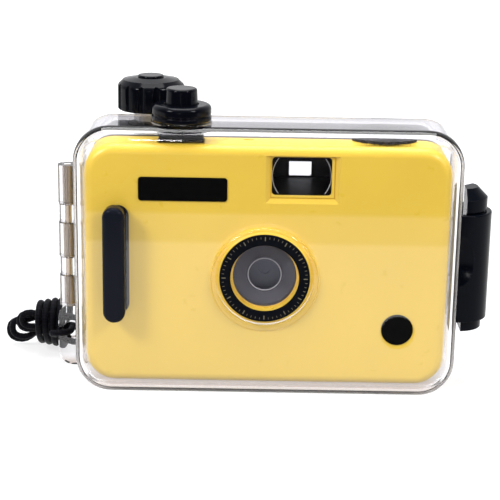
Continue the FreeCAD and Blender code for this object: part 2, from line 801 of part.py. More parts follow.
# Camera's own winding wheel and take-up spool, keyed to the knob's shaft
WHEEL_LOW = f"({WHEEL_TOP} - wheel_thick)"
wheel = Piece("winding_wheel", (KNOB_X, "knob_back", WHEEL_LOW))
wheel.rod(("0", "0", "0"), "wheel_radius", "wheel_thick")
wheel.rod(("wheel_radius + wheel_tooth_set", "0", "-clear_cut"), "wheel_tooth", "wheel_thick + 2*clear_cut", cut=True)
wheel.repeat("wheel_grooves")
wheel.box(span("0", "tongue_long + key_long_gap"), span("0", "tongue_width + key_wide_gap"),
          ("wheel_thick - key_deep", "wheel_thick"), cut=True)
spool = Piece("take_up_spool")
SPOOL_LOW = f"({PLATE_LOW} + spool_end)"
SPOOL_HIGH = f"({PLATE_HIGH} - spool_end)"
spool.rod((KNOB_X, "knob_back", SPOOL_LOW), "spool_core", f"{SPOOL_HIGH} - {SPOOL_LOW}")
spool.rod((KNOB_X, "knob_back", SPOOL_LOW), "spool_flange", "spool_rim")
spool.rod((KNOB_X, "knob_back", f"{SPOOL_HIGH} - spool_rim"), "spool_flange", "spool_rim")
spool.rod((KNOB_X, "knob_back", f"{SPOOL_LOW} - spool_foot"), "sprocket_shaft", "spool_foot + spool_rim/2")
spool.rod((KNOB_X, "knob_back", f"{SPOOL_HIGH} - spool_rim"), "spool_shaft", f"{WHEEL_LOW} - {SPOOL_HIGH} + spool_rim")
spool.box(span(KNOB_X, "spool_slit"), ("knob_back - spool_flange", "knob_back"), span(LENS_Z, "gate_height"), cut=True)

# Sprocket that counts the film's holes
SPROCKET_Y = "(film_plane - sprocket_radius - film_thick)"
sprocket = Piece("film_sprocket", (SPROCKET_X, SPROCKET_Y, SPOOL_LOW))
SPROCKET_LONG = f"({SPOOL_HIGH} - {SPOOL_LOW})"
sprocket.rod(("0", "0", "0"), "sprocket_core", SPROCKET_LONG)
sprocket.rod(("0", "0", "-spool_foot"), "sprocket_shaft", f"{SPROCKET_LONG} + 2*spool_foot")
for low in ("sprocket_low", f"{SPROCKET_LONG} - sprocket_high"):
    sprocket.rod(("0", "0", low), "sprocket_radius", "sprocket_wheel")
    sprocket.box(("sprocket_radius - tooth_root", "sprocket_radius + tooth_height"), span("0", "tooth_width"),
                 (f"{low} + tooth_root", f"{low} + tooth_root + tooth_long"))
    sprocket.repeat("sprocket_teeth")

# Shutter button: cap, stem, spring and clip, in a collar that a nut holds from inside
CEILING = "(case_height - case_wall)"
SPIGOT_LOW = "(-(boss_raise + case_wall + nut_thick))"
STEM_BORE = "(stem_radius + shaft_fit)"
WELL = "(button_radius + button_gap)"
collar = Piece("button_collar", (BUTTON_X, "button_back", COLLAR_Z))
collar.turned([(STEM_BORE, SPIGOT_LOW), ("spigot_radius", SPIGOT_LOW), ("spigot_radius", "0"),
               ("collar_radius - collar_foot", "0"), ("collar_radius", "collar_foot"), ("collar_radius", "band_low"),
               ("collar_radius - band_deep", "band_low + band_slope"),
               ("collar_radius - band_deep", "band_high - band_slope"), ("collar_radius", "band_high"),
               ("collar_radius", "collar_height"), (WELL, "collar_height"), (WELL, "collar_floor"),
               (STEM_BORE, "collar_floor")])
collar.round("collar_round", level("z", "collar_height"), circle_of("collar_radius"))
collar.torus(("0", "0", f"{SPIGOT_LOW}/2"), f"{STEM_BORE} + seal_radius", "seal_radius", cut=True)
button_seal = Piece("button_seal", (BUTTON_X, "button_back", f"{COLLAR_Z} + {SPIGOT_LOW}/2"))
button_seal.torus(("0", "0", "0"), f"{STEM_BORE} + seal_radius", "seal_radius")
CAP_LOW = "(collar_floor + button_travel + button_spare)"
CAP_TOP = "(collar_height + button_rise)"
CAP_INNER = f"({CAP_TOP} - button_crown)"
SPRING_TOP = f"({CAP_INNER} - button_socket)"
SPRING_WELL = "(spring_radius + spring_wire + spring_room)"
button = Piece("button_cap", (BUTTON_X, "button_back", COLLAR_Z))
button.turned([(SPRING_WELL, CAP_LOW), ("button_radius", CAP_LOW), ("button_radius - button_draft", CAP_TOP),
               ("0", CAP_TOP), ("0", CAP_INNER), ("stem_radius", CAP_INNER), ("stem_radius", SPRING_TOP),
               (SPRING_WELL, SPRING_TOP)])
button.round("button_round", level("z", CAP_TOP))
RELEASE_TOP = f"({CAM_ROOF} + release_proud)"
STEM_LOW = f"({RELEASE_TOP} + release_gap)"
stem = Piece("button_plunger")
stem.rod((BUTTON_X, "button_back", STEM_LOW), "stem_radius", f"{COLLAR_Z} + {CAP_INNER} - {STEM_LOW}")
stem.round("stem_round", level("z", STEM_LOW))
button_clip = Piece("button_clip", (BUTTON_X, "button_back", f"{COLLAR_Z} + {SPIGOT_LOW} - end_gap - clip_thick"))
button_clip.rod(("0", "0", "0"), "clip_radius", "clip_thick")
button_clip.rod(("0", "0", "0"), "stem_radius", "clip_thick", cut=True)
nut = Piece("button_nut")
nut.box(span(BUTTON_X, "nut_width"), span("button_back", "nut_depth"), (f"{CEILING} - nut_thick", CEILING))
nut.round("nut_round", along("Z"))
nut.rod((BUTTON_X, "button_back", f"{CEILING} - nut_thick - clear_cut"), "spigot_radius", "nut_thick + 2*clear_cut",
        cut=True)

# The camera's own release plate, which the stem pushes down into the cover
release = Piece("shutter_release")
RELEASE_LOW = f"({RELEASE_TOP} - release_thick)"
release.box(span(BUTTON_X, "release_width"), span("button_back", "release_depth"), (RELEASE_LOW, RELEASE_TOP))
release.round("release_round", along("Z"))
release.rod((BUTTON_X, "button_back", f"{RELEASE_LOW} - release_reach"), "release_foot", "release_reach + release_root")

# Yellow front cover of the camera
cover = Piece("camera_front_cover")
cover.box((CAM_LEFT, CAM_RIGHT), (CAM_FRONT, "cover_split"), (CAM_FLOOR, CAM_ROOF))
cover.round("cover_corner", along("Y"))
cover.round("cover_round", level("y", CAM_FRONT))
cover.hollow("cover_wall", "y", "cover_split")
INNER_FRONT = f"({CAM_FRONT} + cover_wall)"
cover.rod((LENS_X, BARREL_FACE, LENS_Z), "barrel_radius", f"{CAM_FRONT} - {BARREL_FACE} + cover_wall/2", "Y")
cover.round("barrel_round", level("y", BARREL_FACE))
cover.rod((LENS_X, CAM_FRONT, LENS_Z), "barrel_bore + barrel_tube", f"{BARREL_END} - {CAM_FRONT}", "Y")
cover.rod((LENS_X, f"{BARREL_FACE} - clear_cut", LENS_Z), "barrel_bore", f"{BARREL_END} - {BARREL_FACE} + 2*clear_cut",
          "Y", cut=True)
cover.box(span(FINDER_X, "finder_width"), (f"{CAM_FRONT} - clear_cut", f"{INNER_FRONT} + clear_cut"),
          span(FINDER_Z, "finder_height"), cut=True)
flare = cover.feature("SubtractiveWedge")
for name, words in (("Xmin", f"{FINDER_X} - finder_width/2 - finder_bevel"),
                    ("Xmax", f"{FINDER_X} + finder_width/2 + finder_bevel"),
                    ("Zmin", f"{FINDER_Z} - finder_height/2 - finder_bevel"),
                    ("Zmax", f"{FINDER_Z} + finder_height/2 + finder_brow"),
                    ("X2min", f"{FINDER_X} - finder_width/2"), ("X2max", f"{FINDER_X} + finder_width/2"),
                    ("Z2min", f"{FINDER_Z} - finder_height/2"), ("Z2max", f"{FINDER_Z} + finder_height/2"),
                    ("Ymin", CAM_FRONT), ("Ymax", f"{INNER_FRONT} - finder_land")):
    flare.setExpression(name, bound(words))
doc.recompute()
UNDER_ROOF = f"({CAM_ROOF} - cover_wall)"
cover.box(span(BUTTON_X, "release_width + 2*release_fit"), span("button_back", "release_depth + 2*release_fit"),
          (f"{UNDER_ROOF} - clear_cut", f"{CAM_ROOF} + clear_cut"), cut=True)
cover.rod((REWIND_X, "rewind_back", f"{UNDER_ROOF} - clear_cut"), "fork_radius + shaft_fit", "cover_wall + 2*clear_cut",
          cut=True)
cover.rod(("counter_x + counter_window_out", "counter_back", f"{UNDER_ROOF} - clear_cut"), "counter_window",
          "cover_wall + 2*clear_cut", cut=True)
cover.rod(("counter_x", "counter_back", f"{UNDER_ROOF} - counter_thick - counter_pin_low"), "sprocket_shaft",
          "counter_thick + counter_pin_low + cover_wall/2")
CORE_FRONT = f"({BARREL_END} + aperture_thick + blade_thick + 2*blade_clear)"
EAR_FRONT = f"({CORE_FRONT} - ear_set)"
corners = [(x, f"({LENS_Z} {side} screw_spread_z/2)") for side in ("-", "+")
           for x in (f"({CAM_LEFT} + screw_inset)", f"({CAM_RIGHT} - screw_inset)")]
for x, z in corners:
    cover.rod((x, f"{INNER_FRONT} - cover_wall/2", z), "screw_radius + post_wall",
              f"{EAR_FRONT} - {INNER_FRONT} + cover_wall/2", "Y")
    cover.rod((x, f"{EAR_FRONT} - screw_hole", z), "screw_radius", "screw_hole", "Y", cut=True)

# Back door of the camera
door = Piece("camera_back_door")
door.box((CAM_LEFT, CAM_RIGHT), ("cover_split", CAM_BACK), (CAM_FLOOR, CAM_ROOF))
door.round("cover_corner", along("Y"))
door.round("cover_round", level("y", CAM_BACK))
door.hollow("cover_wall", "y", "cover_split")
door.rod((KNOB_X, "knob_back", f"{WHEEL_LOW} - wheel_gap"), "wheel_radius + wheel_gap",
         f"{CAM_ROOF} - {WHEEL_LOW} + wheel_gap + clear_cut", cut=True)
door.rod((FINDER_X, f"{CAM_BACK} - cover_round - clear_cut", EYE_Z), "eyepiece_radius",
         "cover_round + 2*clear_cut", "Y", cut=True)
DOOR_INNER = f"({CAM_BACK} - cover_wall)"

# Inner chassis: light tunnel, film gate, two plates that carry the spools, and ears for the screws
chassis = Piece("film_chassis")
PLATE_LEFT = f"({CAM_LEFT} + cover_wall + plate_gap)"
PLATE_RIGHT = f"({CAM_RIGHT} - cover_wall - plate_gap)"
chassis.box(span(LENS_X, "gate_width + 2*gate_wall"), (CORE_FRONT, "film_plane"), (PLATES_LOW, PLATES_HIGH))
for low, high in ((PLATES_LOW, PLATE_LOW), (PLATE_HIGH, PLATES_HIGH)):
    chassis.box((PLATE_LEFT, PLATE_RIGHT), (f"{EAR_FRONT} - plate_lead", f"{DOOR_INNER} - plate_back_gap"), (low, high))
for low, high in ((PLATE_LEFT, f"{PLATE_LEFT} + ear_width"), (f"{PLATE_RIGHT} - ear_width", PLATE_RIGHT)):
    chassis.box((low, high), (EAR_FRONT, f"{EAR_FRONT} + plate_thick"), (PLATES_LOW, PLATES_HIGH))
tunnel = chassis.feature("SubtractiveWedge")
for name, words in (("Xmin", f"{LENS_X} - aperture_radius - tunnel_room_x"),
                    ("Xmax", f"{LENS_X} + aperture_radius + tunnel_room_x"),
                    ("Zmin", f"{LENS_Z} - aperture_radius - tunnel_room_z"),
                    ("Zmax", f"{LENS_Z} + aperture_radius + tunnel_room_z"),
                    ("X2min", f"{LENS_X} - gate_width/2"), ("X2max", f"{LENS_X} + gate_width/2"),
                    ("Z2min", f"{LENS_Z} - gate_height/2"), ("Z2max", f"{LENS_Z} + gate_height/2"),
                    ("Ymin", CORE_FRONT), ("Ymax", "film_plane")):
    tunnel.setExpression(name, bound(words))
doc.recompute()
THROUGH = "plate_thick + 2*clear_cut"
for x, z in corners:
    chassis.rod((x, f"{EAR_FRONT} - clear_cut", z), "screw_radius + screw_fit", THROUGH, "Y", cut=True)
chassis.rod((KNOB_X, "knob_back", f"{PLATE_HIGH} - clear_cut"), "spool_shaft + shaft_fit", THROUGH, cut=True)
chassis.rod((KNOB_X, "knob_back", f"{PLATES_LOW} - clear_cut"), "sprocket_shaft + shaft_fit", THROUGH, cut=True)
chassis.rod((SPROCKET_X, SPROCKET_Y, f"{PLATES_LOW} - clear_cut"), "sprocket_shaft + shaft_fit",
            f"{PLATES_HIGH} - {PLATES_LOW} + 2*clear_cut", cut=True)
chassis.rod((REWIND_X, "rewind_back", f"{PLATE_HIGH} - clear_cut"), "fork_radius + shaft_fit", THROUGH, cut=True)
POST_HIGH = f"({RELEASE_LOW} - release_reach - button_travel - post_spare)"
chassis.rod((BUTTON_X, "button_back", f"{PLATE_HIGH} + plate_thick/2"), "post_radius",
            f"{POST_HIGH} - {PLATE_HIGH} - plate_thick/2")

# Lens, from front to back
ring = Piece("lens_label_ring", (LENS_X, f"{BARREL_FACE} - ring_thick", LENS_Z), "Y")
ring.rod(("0", "0", "0"), "barrel_radius - ring_inset", "ring_thick")
ring.rod(("0", "0", "0"), "barrel_bore", "ring_thick", cut=True)
glass = Piece("front_lens", (LENS_X, f"{CAM_FRONT} - glass_rise", LENS_Z), "Y")
glass.rod(("0", "0", "0"), "glass_radius", "glass_rise + glass_edge")
glass.round("glass_round", level("z", "0"))
GLASS_BACK = f"({CAM_FRONT} + glass_edge)"
mount = Piece("lens_mount", (LENS_X, GLASS_BACK, LENS_Z), "Y")
mount.turned([("inner_lens_radius", "mount_cone"), ("glass_radius - mount_lip", "0"), ("barrel_bore", "0"),
              ("barrel_bore", "mount_depth"), ("inner_lens_radius", "mount_depth")])
rear_glass = Piece("rear_lens", (LENS_X, f"{GLASS_BACK} + inner_lens_set", LENS_Z), "Y")
rear_glass.rod(("0", "0", "0"), "inner_lens_radius", "inner_lens_thick")
rear_glass.round("inner_lens_round", level("z", "0"))
stop = Piece("aperture_plate", (LENS_X, BARREL_END, LENS_Z), "Y")
stop.rod(("0", "0", "0"), "barrel_bore + barrel_tube", "aperture_thick")
stop.rod(("0", "0", "-clear_cut"), "aperture_radius", "aperture_thick + 2*clear_cut", cut=True)
BLADE_X = "(lens_offset + blade_pivot_out)"
BLADE_Y = f"({BARREL_END} + aperture_thick + blade_clear)"
blade = Piece("shutter_blade", (BLADE_X, BLADE_Y, LENS_Z), "Y")
blade.rod(("0", "0", "0"), "blade_hub", "blade_thick")
blade.rod(("-blade_pivot_out", "0", "0"), "blade_radius", "blade_thick")
blade.box(("-blade_pivot_out", "0"), span("0", "blade_arm"), ("0", "blade_thick"))
blade.rod(("0", "0", "-clear_cut"), "blade_pin + pin_fit", "blade_thick + 2*clear_cut", cut=True)
pivot = Piece("shutter_pin", (BLADE_X, f"{BARREL_END} + aperture_thick", LENS_Z), "Y")
pivot.rod(("0", "0", "0"), "blade_pin", "blade_thick + 2*blade_clear")

# Viewfinder: window pane, tapering tunnel and eyepiece
pane = Piece("viewfinder_window")
pane.box(span(FINDER_X, "finder_width + 2*finder_wall"), (INNER_FRONT, f"{INNER_FRONT} + pane_thick"),
         span(FINDER_Z, "finder_height + 2*finder_wall"))
pane.bevel("finder_trim", along("X"), level("y", INNER_FRONT), beyond("z", FINDER_Z))
eye_tunnel = Piece("viewfinder_tunnel")
eye_tunnel.box(span(FINDER_X, "finder_width + 2*finder_wall"), (f"{INNER_FRONT} + pane_thick", DOOR_INNER),
               span(FINDER_Z, "finder_height + 2*finder_wall"))
eye_tunnel.bevel("finder_trim", along("X"), level("y", DOOR_INNER), beyond("z", FINDER_Z))
MASK_Y = f"({DOOR_INNER} - eyepiece_seat - mask_thick)"
eye_tunnel.rod((FINDER_X, MASK_Y, EYE_Z), "eyepiece_radius + eyepiece_wall", "mask_thick + eyepiece_seat", "Y")
eye_tunnel.box(span(FINDER_X, "finder_width"), (INNER_FRONT, MASK_Y), span(FINDER_Z, "finder_height"), cut=True)
eye_tunnel.box(span(FINDER_X, "mask_width"), (f"{MASK_Y} - clear_cut", f"{DOOR_INNER} - eyepiece_seat/2"),
               span(EYE_Z, "mask_height"), cut=True)
eye_tunnel.rod((FINDER_X, f"{DOOR_INNER} - eyepiece_seat", EYE_Z), "eyepiece_radius", "eyepiece_seat + clear_cut",
               "Y", cut=True)
eyepiece = Piece("viewfinder_eyepiece", (FINDER_X, f"{DOOR_INNER} - eyepiece_seat", EYE_Z), "Y")
EYEPIECE_LONG = "eyepiece_seat + cover_wall + eyepiece_proud"
eyepiece.rod(("0", "0", "0"), "eyepiece_radius", EYEPIECE_LONG)
eyepiece.round("eyepiece_round", level("z", EYEPIECE_LONG))

# Rewind knob with its fork, and the frame counter's dial
rewind = Piece("rewind_knob", (REWIND_X, "rewind_back", f"{CAM_ROOF} + rewind_lift"))
rewind.rod(("0", "0", "0"), "rewind_radius", "rewind_thick")
rewind.rod(("rewind_radius + rewind_tooth_set", "0", "-clear_cut"), "rewind_tooth", "rewind_thick + 2*clear_cut",
           cut=True)
rewind.repeat("wheel_grooves")
fork = Piece("rewind_fork", (REWIND_X, "rewind_back", f"{CAM_ROOF} + rewind_lift - fork_reach"))
fork.rod(("0", "0", "0"), "fork_radius", "fork_reach")
fork.box(("-fork_radius - clear_cut", "fork_radius + clear_cut"), span("0", "fork_slot"), ("-clear_cut", "fork_deep"),
         cut=True)
dial = Piece("counter_dial", ("counter_x", "counter_back", f"{UNDER_ROOF} - counter_thick - counter_gap"))
dial.rod(("0", "0", "0"), "counter_radius", "counter_thick")
dial.rod(("0", "0", "-clear_cut"), "sprocket_shaft + shaft_fit", "counter_thick + 2*clear_cut", cut=True)

# Pressure plate and its leaf spring behind the film
pressure = Piece("pressure_plate")
PRESS_Y = "(film_plane + pressure_gap)"
pressure.box(span(LENS_X, "gate_width + 2*pressure_over"), (PRESS_Y, f"{PRESS_Y} + pressure_thick"),
             span(LENS_Z, "film_width - 2*pressure_inset"))
pressure.round("pressure_round", along("Y"))
leaf = Piece("pressure_spring", ("0", "0", f"{LENS_Z} - leaf_width/2"))
LEAF_NEAR = f"({PRESS_Y} + pressure_thick)"
leaf.slab("XY", [(f"{LENS_X} - leaf_reach", LEAF_NEAR), (f"{LENS_X} - leaf_crown", f"{DOOR_INNER} - leaf_thick"),
                 (f"{LENS_X} + leaf_crown", f"{DOOR_INNER} - leaf_thick"), (f"{LENS_X} + leaf_reach", LEAF_NEAR),
                 (f"{LENS_X} + leaf_reach", f"{LEAF_NEAR} + leaf_thick"), (f"{LENS_X} + leaf_crown", DOOR_INNER),
                 (f"{LENS_X} - leaf_crown", DOOR_INNER), (f"{LENS_X} - leaf_reach", f"{LEAF_NEAR} + leaf_thick")],
          "leaf_width")

# Grip bar on the front shell, with its backing strip inside
GRIP_X = "(-case_width/2 + grip_inset)"
grip = Piece("grip_bar")
grip.box(span(GRIP_X, "grip_width"), (f"{FRONT} - grip_stand", FRONT), ("grip_bottom", "grip_bottom + grip_height"))
grip.round("grip_end", along("Y"))
grip.round("grip_round", level("y", f"{FRONT} - grip_stand"))
backing = Piece("grip_backing")
backing.box(span(f"({GRIP_X} + backing_shift)", "backing_width"),
            (f"{FRONT} + case_wall", f"{FRONT} + case_wall + backing_thick"),
            ("backing_bottom", "backing_bottom + backing_height"))
backing.round("grip_end", along("Y"))

# Plain name plate and plain disc on the camera's face
plate = Piece("name_plate")
plate.box(span(f"({LEFT} + plate_inset)", "name_width"), (f"{CAM_FRONT} - label_thick", CAM_FRONT),
          span(f"({CAM_ROOF} - plate_drop)", "name_height"))
plate.round("label_round", along("Y"))
badge = Piece("badge_disc", (f"{RIGHT} - badge_inset", f"{CAM_FRONT} - label_thick", "badge_height"), "Y")
badge.rod(("0", "0", "0"), "badge_radius", "label_thick")


def bend(start, corner, end):
    """An arc that leaves one point and reaches another along the two sides of a corner."""
    middle = (start + end) / 2
    rise = (corner - middle).Length
    if rise < 1e-5:
        return Part.LineSegment(start, end).toShape()
    half = (end - start).Length / 2
    side = (corner - start).Length
    top = middle + (corner - middle) * (half * (side - half) / rise ** 2)
    return Part.Arc(start, top, end).toShape()


def wind(points, ways=None):
    """Join points by pairs of arcs. The ways are the directions at the points."""
    if ways is None:
        steps = [(b - a) / (b - a).Length ** 2 for a, b in zip(points, points[1:])]
        inner = [(a + b).normalize() for a, b in zip(steps, steps[1:])]
        first = (points[1] - points[0]).normalize()
        last = (points[-1] - points[-2]).normalize()
        ways = [first * (2 * inner[0].dot(first)) - inner[0], *inner,
                last * (2 * inner[-1].dot(last)) - inner[-1]]
    edges = []
    for a, t, b, u in zip(points, ways, points[1:], ways[1:]):
        chord = b - a
        both = t + u
        square = 4 - both.dot(both)
        linear = 2 * chord.dot(both)
        reach = chord.dot(chord) / linear if square < 1e-9 else (
            math.sqrt(linear ** 2 + 4 * square * chord.dot(chord)) - linear) / (2 * square)
        near = a + t * reach
        far = b - u * reach
        meet = (near + far) / 2
        edges += [bend(a, near, meet), bend(meet, far, b)]
    return edges


def route(points):
    """Straight runs joined by arcs as large as the runs allow; prints the radii."""
    edges = []
    radii = []
    start = points[0]
    for before, corner, after in zip(points, points[1:], points[2:]):
        come = (corner - before).normalize()
        go = (after - corner).normalize()
        cut = 0.45 * min((corner - before).Length, (after - corner).Length)
        radii.append(cut / math.tan(come.getAngle(go) / 2))
        edges.append(Part.LineSegment(start, corner - come * cut).toShape())
        edges.append(bend(corner - come * cut, corner, corner + go * cut))
        start = corner + go * cut
    edges.append(Part.LineSegment(start, points[-1]).toShape())
    print("cord radii, mm:", " ".join(f"{radius:.1f}" for radius in radii))
    return edges


def tube(label, edges, radius):
    """One unbroken tube along joined edges; prints its length, volume ratio and least gap to itself."""
    wire = Part.Wire(edges)
    start = edges[0].valueAt(edges[0].FirstParameter)
    way = edges[0].tangentAt(edges[0].FirstParameter)
    profile = Part.Wire([Part.Circle(start, way, radius).toShape()])
    thing = doc.addObject("Part::Feature", label)
    thing.Label = label
    thing.Shape = wire.makePipeShell([profile], True, False)
    pieces.append(thing)
    step = radius / 2
    spots = wire.discretize(Distance=step)
    apart = int(4 * math.pi * radius / step)
    least = min(a.distanceToPoint(b) for n, a in enumerate(spots) for b in spots[n + apart:]) - 2 * radius
    share = thing.Shape.Volume / (math.pi * radius ** 2 * wire.Length)
    print(f"{label}: length {wire.Length:.1f} mm, volume ratio {share:.4f}, least gap {least:.2f} mm")


def coil(label, at, high, radius, wire, turns):
    """A helical spring on an upright line, with four pairs of arcs to a turn."""
    x, y, low = (number(words) for words in at)
    steps = 4 * turns
    climb = (number(high) - low - 2 * wire) / steps
    tube(label, wind([V(x + radius * math.cos(math.pi * n / 2), y + radius * math.sin(math.pi * n / 2),
                        low + wire + climb * n) for n in range(steps + 1)]), wire)


# Springs: one under the button's cap, one under the camera's own release plate
coil("button_spring", (BUTTON_X, "button_back", f"{COLLAR_Z} + collar_floor"), f"{COLLAR_Z} + {SPRING_TOP}",
     spring_radius, spring_wire, spring_turns)
coil("release_spring", (BUTTON_X, "button_back", POST_HIGH), RELEASE_LOW,
     release_coil, release_wire, release_turns)

# Four screws, from the chassis ears into the cover's posts
screws = []
for n, (x, z) in enumerate(corners):
    shank = doc.addObject("Part::Cylinder", f"screw_shank_{n}")
    head = doc.addObject("Part::Cylinder", f"screw_head_{n}")
    slot = doc.addObject("Part::Box", f"screw_slot_{n}")
    for rod, radius, length in ((shank, "screw_radius", "plate_thick + screw_grip"),
                                (head, "screw_head", "screw_rise")):
        rod.setExpression("Radius", bound(radius))
        rod.setExpression("Height", bound(length))
        rod.Placement.Rotation = TURN["Y"]
    for side, length in (("Length", "3*screw_head"), ("Width", "screw_rise"), ("Height", "screw_rise/2")):
        slot.setExpression(side, bound(length))
    place(shank, (x, f"{EAR_FRONT} - screw_grip", z))
    place(head, (x, f"{EAR_FRONT} + plate_thick", z))
    place(slot, (f"{x} - 1.5*screw_head", f"{EAR_FRONT} + plate_thick + screw_rise/2", f"{z} - screw_rise/4"))
    whole = doc.addObject("Part::Fuse", f"screw_whole_{n}")
    whole.Base = shank
    whole.Tool = head
    screw = doc.addObject("Part::Cut", f"screw_{n}")
    screw.Base = whole
    screw.Tool = slot
    screws.append(screw)
group = doc.addObject("Part::Compound", "camera_screws")
group.Label = "camera_screws"
group.Links = screws
pieces.append(group)

# Wrist strap: a hank of oval loops, the tie round it, and the stretch that passes through the lug
hank_right = hank_x + hank_length
spots = []
ways = []
for k in range(hank_loops):
    sway = math.cos(math.pi * k / (hank_loops - 1))
    middle = hank_z + hank_fan * sway
    after = hank_z + hank_fan * math.cos(math.pi * (k + 1) / (hank_loops - 1))
    tip_x = hank_x - loop_reach + loop_spread * sway
    tip_z = hank_z - loop_drop + loop_swing * sway
    curl = loop_radius - loop_narrow * sway
    stations = [(hank_right, middle + hank_half, -1, 0), (hank_x, middle + hank_half, -1, 0),
                (tip_x + curl, tip_z + curl, -1, 0), (tip_x, tip_z, 0, -1), (tip_x + curl, tip_z - curl, 1, 0),
                (hank_x, middle - hank_half, 1, 0), (hank_right, middle - hank_half, 1, 0),
                (hank_right + loop_tuck, (middle + after) / 2, 0, 1)]
    for n, (x, z, way_x, way_z) in enumerate(stations):
        spots.append(V(x, hank_y + hank_pitch * (k + n / 8), z))
        ways.append(V(way_x, hank_lean, way_z).normalize())
spots = [spots[0] + V(hank_tail, 0, 0), *spots[:-1], spots[-2] + V(hank_end, 0, 0)]
ways = [V(-1, 0, 0), V(-1, 0, 0), *ways[1:-2], V(1, 0, 0), V(1, 0, 0)]
tube("strap_hank", wind(spots, ways), cord_radius)
leave = V(hank_exit, 0, 0)
route_points = [V(*at) for at in STRAP_ROUTE]
tube("strap_cord", route([spots[0], spots[0] + leave, *route_points, spots[-1] + leave, spots[-1]]),
     cord_radius)

rounds = 8 * tie_turns
tie_x = hank_x + hank_length / 2
tie_y = hank_y + hank_pitch * (hank_loops / 2 - 1 / 8)
spots = [V(tie_x + tie_pitch * (n - rounds / 2) / 8,
           tie_y + tie_half_y * math.cos(math.pi * n / 4),
           hank_z + tie_half_z * math.sin(math.pi * n / 4)) for n in range(rounds + 1)]
tube("strap_tie", wind(spots), cord_radius)

# Every piece must be sound before it is written
doc.recompute()
for thing in doc.Objects:
    if "Invalid" in thing.State or "Error" in thing.State:
        raise ValueError(f"{thing.Label} did not recompute")
os.makedirs("parts", exist_ok=True)
for body in pieces:
    if body.Shape.isNull() or not body.Shape.isValid():
        raise ValueError(f"{body.Label} is not a sound solid")
    body.Shape.exportStep(f"parts/{body.Label}.step")
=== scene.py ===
"""Underwater film camera: materials, light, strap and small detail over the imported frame."""
import json
import math

import bpy
from mathutils import Matrix, Vector


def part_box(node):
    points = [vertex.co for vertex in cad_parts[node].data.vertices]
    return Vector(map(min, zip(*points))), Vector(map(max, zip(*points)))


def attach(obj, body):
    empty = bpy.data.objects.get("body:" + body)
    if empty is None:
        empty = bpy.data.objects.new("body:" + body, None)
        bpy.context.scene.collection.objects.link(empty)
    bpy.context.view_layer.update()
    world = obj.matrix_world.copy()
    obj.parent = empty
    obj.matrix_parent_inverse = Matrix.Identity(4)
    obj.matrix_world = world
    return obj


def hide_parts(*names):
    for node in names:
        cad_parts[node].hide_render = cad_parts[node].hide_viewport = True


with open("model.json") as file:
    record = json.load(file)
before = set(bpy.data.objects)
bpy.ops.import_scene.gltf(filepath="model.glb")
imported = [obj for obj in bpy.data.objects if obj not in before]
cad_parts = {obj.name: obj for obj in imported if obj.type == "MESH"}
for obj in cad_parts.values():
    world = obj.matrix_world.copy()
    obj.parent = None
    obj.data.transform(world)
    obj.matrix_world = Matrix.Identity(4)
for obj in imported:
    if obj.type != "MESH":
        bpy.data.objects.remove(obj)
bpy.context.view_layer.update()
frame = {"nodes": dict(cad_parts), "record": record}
nodes = frame["nodes"]
scene = bpy.context.scene

# Places and sizes on the CAD model, in millimetres
MM = 0.001
LENS_X, LENS_Z = -0.6, 39.7     # axis of the lens and of the port in front of it
CASE_FRONT = -20.5              # outer face of the clear front
PANE_BACK = -18.4               # a little behind the inner face of the clear front
PANE_Z = 43.6                   # middle height of the flat part of the clear front
PANE_HALF_X, PANE_HALF_Z = 56.2, 38.8
PORT_MIDDLE, PORT_OPENING = -21.8, 15.65
PORT_FOOT = 17.4                # where the port's rounded foot ends
BADGE_OPENING = 5.4
MOUNT_FRONT, MOUNT_LEDGE = -17.0, 9.95
RING_FACE = -20.6
PAINTED_FOOT_TOP = 4.4                  # the clear case is painted browner up to here: painted reflection of the yellow camera and painted shade
FINDER_X, FINDER_Z = 10.8, 71.6
OPENING_X, OPENING_Z = FINDER_X - 0.35, FINDER_Z + 0.35
CORD_RADIUS = 1.15


class Graph:
    """Shader nodes, added one by one."""

    def __init__(self, tree):
        self.tree = tree

    def node(self, kind, **settings):
        made = self.tree.nodes.new(kind)
        for key, value in settings.items():
            setattr(made, key, value)
        return made

    def wire(self, source, target):
        self.tree.links.new(source, target)

    def put(self, socket, value):
        """Set a socket, or link it where the value is another node's output."""
        if isinstance(value, bpy.types.NodeSocket):
            self.wire(value, socket)
        else:
            socket.default_value = value

    def split(self, vector):
        """The three parts of a vector."""
        parts = self.node("ShaderNodeSeparateXYZ")
        self.wire(vector, parts.inputs[0])
        return parts.outputs

    def remap(self, value, low, high, to_low, to_high):
        made = self.node("ShaderNodeMapRange")
        for socket, number in zip(made.inputs[1:5], (low, high, to_low, to_high)):
            socket.default_value = number
        self.wire(value, made.inputs[0])
        return made.outputs[0]

    def maths(self, operation, a, b=0.0):
        made = self.node("ShaderNodeMath", operation=operation)
        self.put(made.inputs[0], a)
        self.put(made.inputs[1], b)
        return made.outputs[0]

    def blend(self, share, a, b, how="MIX"):
        """A colour between a and b."""
        made = self.node("ShaderNodeMix", data_type="RGBA", blend_type=how)
        self.put(made.inputs[0], share)
        self.put(made.inputs[6], a)
        self.put(made.inputs[7], b)
        return made.outputs[2]

    def mixed(self, share, one, two):
        """A shader between one and two."""
        made = self.node("ShaderNodeMixShader")
        self.put(made.inputs[0], share)
        self.wire(one, made.inputs[1])
        self.wire(two, made.inputs[2])
        return made.outputs[0]

    def glow(self, kind, color=(1, 1, 1, 1), strength=1.0):
        """Light of its own, from an Emission or a Background."""
        made = self.node(kind)
        self.put(made.inputs["Color"], color)
        self.put(made.inputs["Strength"], strength)
        return made.outputs[0]


